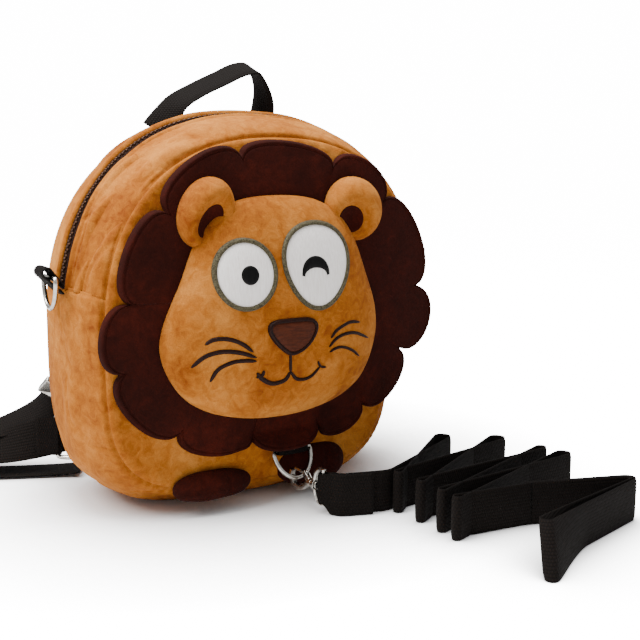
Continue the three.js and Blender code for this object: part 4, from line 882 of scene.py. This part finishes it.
# Carry handle: one strap sewn into the back seam along the top, which turns flat over the grip.
# Rows are shares of its span and rise, and the direction of the webbing's width there.
HANDLE_ROWS = [
    (-0.53, -0.07, -0.9, 0.45, 0), (-0.44, 0.16, -0.6, 0.8, 0.3), (-0.33, 0.4, -0.2, 1, 0.45),
    (-0.14, 0.6, 0, 1, 0.45), (0.1, 0.8, 0, 1, 0.45), (0.3, 0.96, 0, 1, 0.45), (0.44, 0.97, 0, 1, 0.4),
    (0.53, 0.7, 0, 1, 0.1), (0.55, 0.35, -0.3, 1, 0), (0.5, -0.05, -0.5, 0.9, 0),
]
HANDLE_SPAN, HANDLE_RISE, HANDLE_WIDTH = 70, 38, 20
seat = skin(math.pi / 2, 0.92)
rows = open_curve(HANDLE_ROWS, 10)
path = np.stack([1 + rows[:, 0] * HANDLE_SPAN, np.full(len(rows), seat[1]),
                 seat[2] + rows[:, 1] * HANDLE_RISE], -1)
ribbon("handle_webbing", path, rows[:, 2:], ["handle"], HANDLE_WIDTH, 2.4)

# Front tab: a short loop of narrower webbing behind the lowest lobe of the mane, sewn to the front panel.
# It goes round the bar of the leash's ring.
RING_ACROSS, RING_BAR_HEIGHT, TAB_TOP = 6, 31, 42
bar_y = float(panel_front(np.float64(0), np.float64(RING_BAR_HEIGHT))) - GAP - WEBBING / 2 - PEG
tab_start = float(panel_front(np.float64(0), np.float64(TAB_TOP))) - GAP - WEBBING / 2
path = even(belt((tab_start, TAB_TOP), [(bar_y, RING_BAR_HEIGHT, PEG, -1)],
                 (bar_y - PEG, RING_BAR_HEIGHT + 3)), 1.5)
ribbon("front_tab_webbing", [(RING_ACROSS, y, z) for y, z in path], [(1, 0, 0)] * len(path),
       ["front_tab"], 20)


# Rings: round wire bent to a half ring or a rectangle, closed, and plated with polished nickel. The
# plating is bright, with faint wear that breaks up its reflections.
nickel_made = Surface("polished_nickel", 0.24, metallic=1.0)
nickel_wear = nickel_made.noise(220, 4, 0.6)
nickel = nickel_made.finish(nickel_made.ramp(nickel_wear, [(0.3, "#A8A39B"), (0.7, "#DAD7D1")]),
                            nickel_wear, 0.0002, 0.15)


def wire(name, path, nodes, radius=WIRE / 2, body="bag", sides=16):
    path = np.asarray(path, float)
    along = np.roll(path, -1, 0) - np.roll(path, 1, 0)
    along /= np.linalg.norm(along, axis=1, keepdims=True)
    flat = np.cross(path[0] - path.mean(0), path[len(path) // 3] - path.mean(0))
    flat /= np.linalg.norm(flat)
    side = np.cross(along, flat)
    turn = 2 * np.pi * np.arange(sides) / sides
    rings = (path[:, None] + side[:, None] * (radius * np.cos(turn))[None, :, None]
             + flat[None, None] * (radius * np.sin(turn))[None, :, None])
    index = np.arange(len(path) * sides).reshape(len(path), sides)
    step, over = np.roll(index, -1, 0), np.roll(index, -1, 1)
    faces = np.stack([index, step, np.roll(step, -1, 1), over], -1).reshape(-1, 4)
    return piece(name, rings.reshape(-1, 3), faces, nickel, nodes, body)


def softened(corners, radius, steps=6):
    """A closed path with each corner rounded."""
    corners = np.asarray(corners, float)
    out = []
    for before, corner, after in zip(np.roll(corners, 1, 0), corners, np.roll(corners, -1, 0)):
        a, b = before - corner, after - corner
        start = corner + a / np.linalg.norm(a) * min(radius, np.linalg.norm(a) / 2)
        end = corner + b / np.linalg.norm(b) * min(radius, np.linalg.norm(b) / 2)
        for k in range(steps + 1):
            t = k / steps
            out.append((1 - t) ** 2 * start + 2 * t * (1 - t) * corner + t * t * end)
    return np.array(out)


def half_round(width, drop, steps=48):
    turn = np.linspace(0, np.pi, steps)
    return np.stack([width / 2 * np.cos(turn), -drop * np.sin(turn) ** 0.9], -1)


RING_WIDTH, RING_DROP, RING_FORWARD = 25.5, 16, 7
bow = half_round(RING_WIDTH, RING_DROP)
wire("front_ring_wire", np.stack([RING_ACROSS + bow[:, 0], bar_y + bow[:, 1] * RING_FORWARD / RING_DROP,
                                  RING_BAR_HEIGHT + bow[:, 1]], -1), ["front_ring"], 1.35)


# Castings: the snap hook with its gate and swivel loop, the zip pull and the strap sliders, plated or
# lacquered. Each takes its node's own shape, with its edges rounded as a casting's are.
def cast(name, node, voxel, smoothing, material, body="bag"):
    """A node's own shape with its edges rounded as cast metal has them."""
    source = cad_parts[node]
    obj = bpy.data.objects.new(name, source.data.copy())
    bpy.context.scene.collection.objects.link(obj)
    remesh = obj.modifiers.new("remesh", "REMESH")
    remesh.mode = "VOXEL"
    remesh.voxel_size = voxel / 1000
    relax = obj.modifiers.new("relax", "SMOOTH")
    relax.factor = 0.5
    relax.iterations = smoothing
    graph = bpy.context.evaluated_depsgraph_get()
    made = bpy.data.meshes.new_from_object(obj.evaluated_get(graph))
    obj.modifiers.clear()
    obj.data = made
    made.materials.clear()
    made.materials.append(material)
    made.shade_smooth()
    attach(obj, body)
    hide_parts(node)
    return obj


cast("hook_casting", "hook_body", 0.28, 5, nickel)
cast("hook_lever", "hook_gate", 0.25, 3, nickel, "gate")
cast("hook_swivel_loop", "hook_loop", 0.32, 4, nickel)
cast("zip_pull", "zip_slider", 0.3, 3, lacquer)

# Leash: one length of webbing that starts round the hook's swivel loop. It stands on its edge on the
# floor, folded to and fro, with a hand loop at its end. One row a peg: across, ahead, radius and turn.
LEASH_BAR = (8.5, -86)
LAYER = WEBBING + 0.6
LEASH_PEGS = [
    (19, -90, 7 + LAYER, -1), (*LEASH_BAR, PEG + 0.3, -1), (19, -90, 7, 1), (41, -90, 13, 1),
    (116, -62, 5, 1), (46, -108, 2.4, -1), (144, -83, 5, 1), (47, -128, 2.4, -1), (153, -114, 3, 1),
    (47, -147, 2.4, -1), (155, -131, 4.5, 1), (46, -161, 2.4, -1), (95, -177, 12, -1),
    (150, -187, 2.2, -1), (62, -212, 3.5, 1), (150, -187, 2.2 + LAYER, 1),
]
TIP, TIP_REACH, TIP_LEAN = (62, -212), 38, (-14, -20)
LOOP_HEIGHT, LOOP_MIDDLE, GATHER = 24.5, 15, 6
path = even(belt((31, -104), LEASH_PEGS, (94, -162.5)), 2.0)
near_bar = np.clip(1.6 * np.clip(1 - np.hypot(*(path - LEASH_BAR).T) / GATHER, 0, 1), 0, 1)
lean = np.clip(1 - np.hypot(*(path - TIP).T) / TIP_REACH, 0, 1) ** 1.5
low_rise = near_bar * (LOOP_MIDDLE - LOOP_HEIGHT / 2 + WIRE + 3 * GAP)
high_drop = near_bar * (WEBBING_WIDTH - LOOP_MIDDLE - LOOP_HEIGHT / 2 + WIRE + 3 * GAP)
low_edge = np.stack([path[:, 0] + lean * TIP_LEAN[0], path[:, 1] + lean * TIP_LEAN[1], low_rise + 0.15], -1)
high_edge = np.stack([path[:, 0], path[:, 1], WEBBING_WIDTH - high_drop], -1)
webbing_strip("leash_webbing", low_edge, high_edge, ["leash"])

# Side tabs: short loops of webbing sewn into the gusset's side seams, at the zipper's ends. Each
# holds a half ring, which swings on it.
tab_root = skin(side_angle, 0.36)
SIDE_REACH, SIDE_RISE, SIDE_TAB_WIDTH, SIDE_RING_WIDTH, SIDE_RING_DROP = 15, 13, 15, 20, 17
side_bar = (tab_root[0] + SIDE_REACH / 2, tab_root[2] + SIDE_RISE / 2 - 0.4)
side_path = even(belt((tab_root[0] + 1.5, tab_root[2] + 1.5),
                      [(tab_root[0] + SIDE_REACH - 4, tab_root[2] + SIDE_RISE - 3.5, PEG, -1)],
                      (tab_root[0] + 2, tab_root[2] - 2.5)), 1.2)
side_bow = half_round(SIDE_RING_WIDTH, SIDE_RING_DROP)

# Shoulder straps: webbing sewn to the top of the back, which goes down it, out over the floor and back to
# a ring at the lower corner, held there by a corner tab. A slider sets the length.
# Rows are distances across, behind the back panel and up, and the direction of the strap's width.
BACK_FACE = BAG_DEPTH / 2 + GAP + WALL
STRAP_ROWS = [
    (33, 2.2, 198, 1, 0, 0.1), (42, 4.5, 175, 1, 0, 0.3), (58, 7, 140, 1, 0, 0.4), (74, 8, 100, 1, 0, 0.4),
    (86, 8, 76, 1, 0.1, 0.4), (90, 10, 60, 0.9, 0.2, 0.4), (95, 22, 47, 0.3, 0.45, 0.7),
    (105, 35, 37, -0.2, 0.6, 0.55), (121, 48, 29, -0.4, 0.75, 0.35), (139, 58, 23, -0.45, 0.8, 0.2),
    (158, 68, 18, -0.45, 0.85, 0.1), (174, 76, 17, -0.45, 0.85, 0), (180, 79, 12, -0.45, 0.85, 0),
    (175, 76, 8.5, -0.45, 0.85, 0), (160, 64, 10.5, -0.5, 0.8, 0.1), (142, 48, 15, -0.5, 0.75, 0.3),
    (124, 33, 20, -0.3, 0.5, 0.8),
]
LOWER_ROWS = [(82, 14, 3.2, -0.6, 0.8), (90, 19, 2.4, -0.55, 0.83), (102, 25, 1.8, -0.5, 0.86),
              (124, 35, 1.6, -0.45, 0.89), (150, 48, 1.6, -0.45, 0.89)]
RING_INNER, RING_OUTER, RING_UP, RING_HALF = (90, 7.5), (98, 14.5), 27, 16
strap = np.array(STRAP_ROWS, float)
inner_bar = (RING_INNER[0], BACK_FACE + RING_INNER[1])
outer_bar = (RING_OUTER[0], BACK_FACE + RING_OUTER[1])
strap_end = belt((strap[-1, 0], BACK_FACE + strap[-1, 1]), [(*outer_bar, PEG, 1)],
                 (outer_bar[0] + 12, outer_bar[1] + 4.5), 0.5)[1:]
strap_path = np.vstack([np.stack([strap[:, 0], BACK_FACE + strap[:, 1], strap[:, 2]], -1),
                        np.column_stack([strap_end, np.full(len(strap_end), RING_UP)])])
strap_widths = np.vstack([strap[:, 3:], np.tile([0, 0, 1], (len(strap_end), 1))])
smooth_strap = open_curve(np.hstack([strap_path, strap_widths]), 7)
lower = np.array(LOWER_ROWS, float)
lower_strap = open_curve(np.column_stack([lower[:, 0], BACK_FACE + lower[:, 1], lower[:, 2], lower[:, 3:],
                                          np.zeros(len(lower))]), 10)
corner = even(belt((76, BACK_FACE + 1.3), [(*inner_bar, PEG, 1)], (76, BACK_FACE + 3.6)), 1.2)
for side, sign in (("left", -1), ("right", 1)):
    flip = np.array([sign, 1, 1])
    ribbon(f"side_tab_{side}_webbing", np.array([(x, tab_root[1], z) for x, z in side_path]) * flip,
           [(0, 1, 0)] * len(side_path), [f"side_tab_{side}"], SIDE_TAB_WIDTH)
    ring_path = np.stack([np.full(len(side_bow), side_bar[0]), tab_root[1] + side_bow[:, 0],
                          side_bar[1] + side_bow[:, 1]], -1)
    wire(f"side_ring_{side}_wire", ring_path * flip, [f"side_ring_{side}"], 1.35, f"ring_{side}")
    ribbon(f"shoulder_strap_{side}_webbing", smooth_strap[:, :3] * flip, smooth_strap[:, 3:] * flip,
           [f"shoulder_strap_{side}"])
    ribbon(f"lower_strap_{side}_webbing", lower_strap[:, :3] * flip, lower_strap[:, 3:] * flip,
           [f"lower_strap_{side}"])
    reach = RING_HALF - WIRE / 2
    corners = [(*inner_bar, RING_UP - reach), (*outer_bar, RING_UP - reach),
               (*outer_bar, RING_UP + reach), (*inner_bar, RING_UP + reach)]
    wire(f"strap_ring_{side}_wire", softened(corners, 3) * flip, [f"strap_ring_{side}"], 1.4)
    ribbon(f"corner_tab_{side}_webbing", [(sign * x, y, RING_UP) for x, y in corner],
           [(0, 0, 1)] * len(corner), [f"corner_tab_{side}"], WEBBING_WIDTH)
    cast(f"slider_{side}", f"strap_slider_{side}", 0.45, 2, nickel)
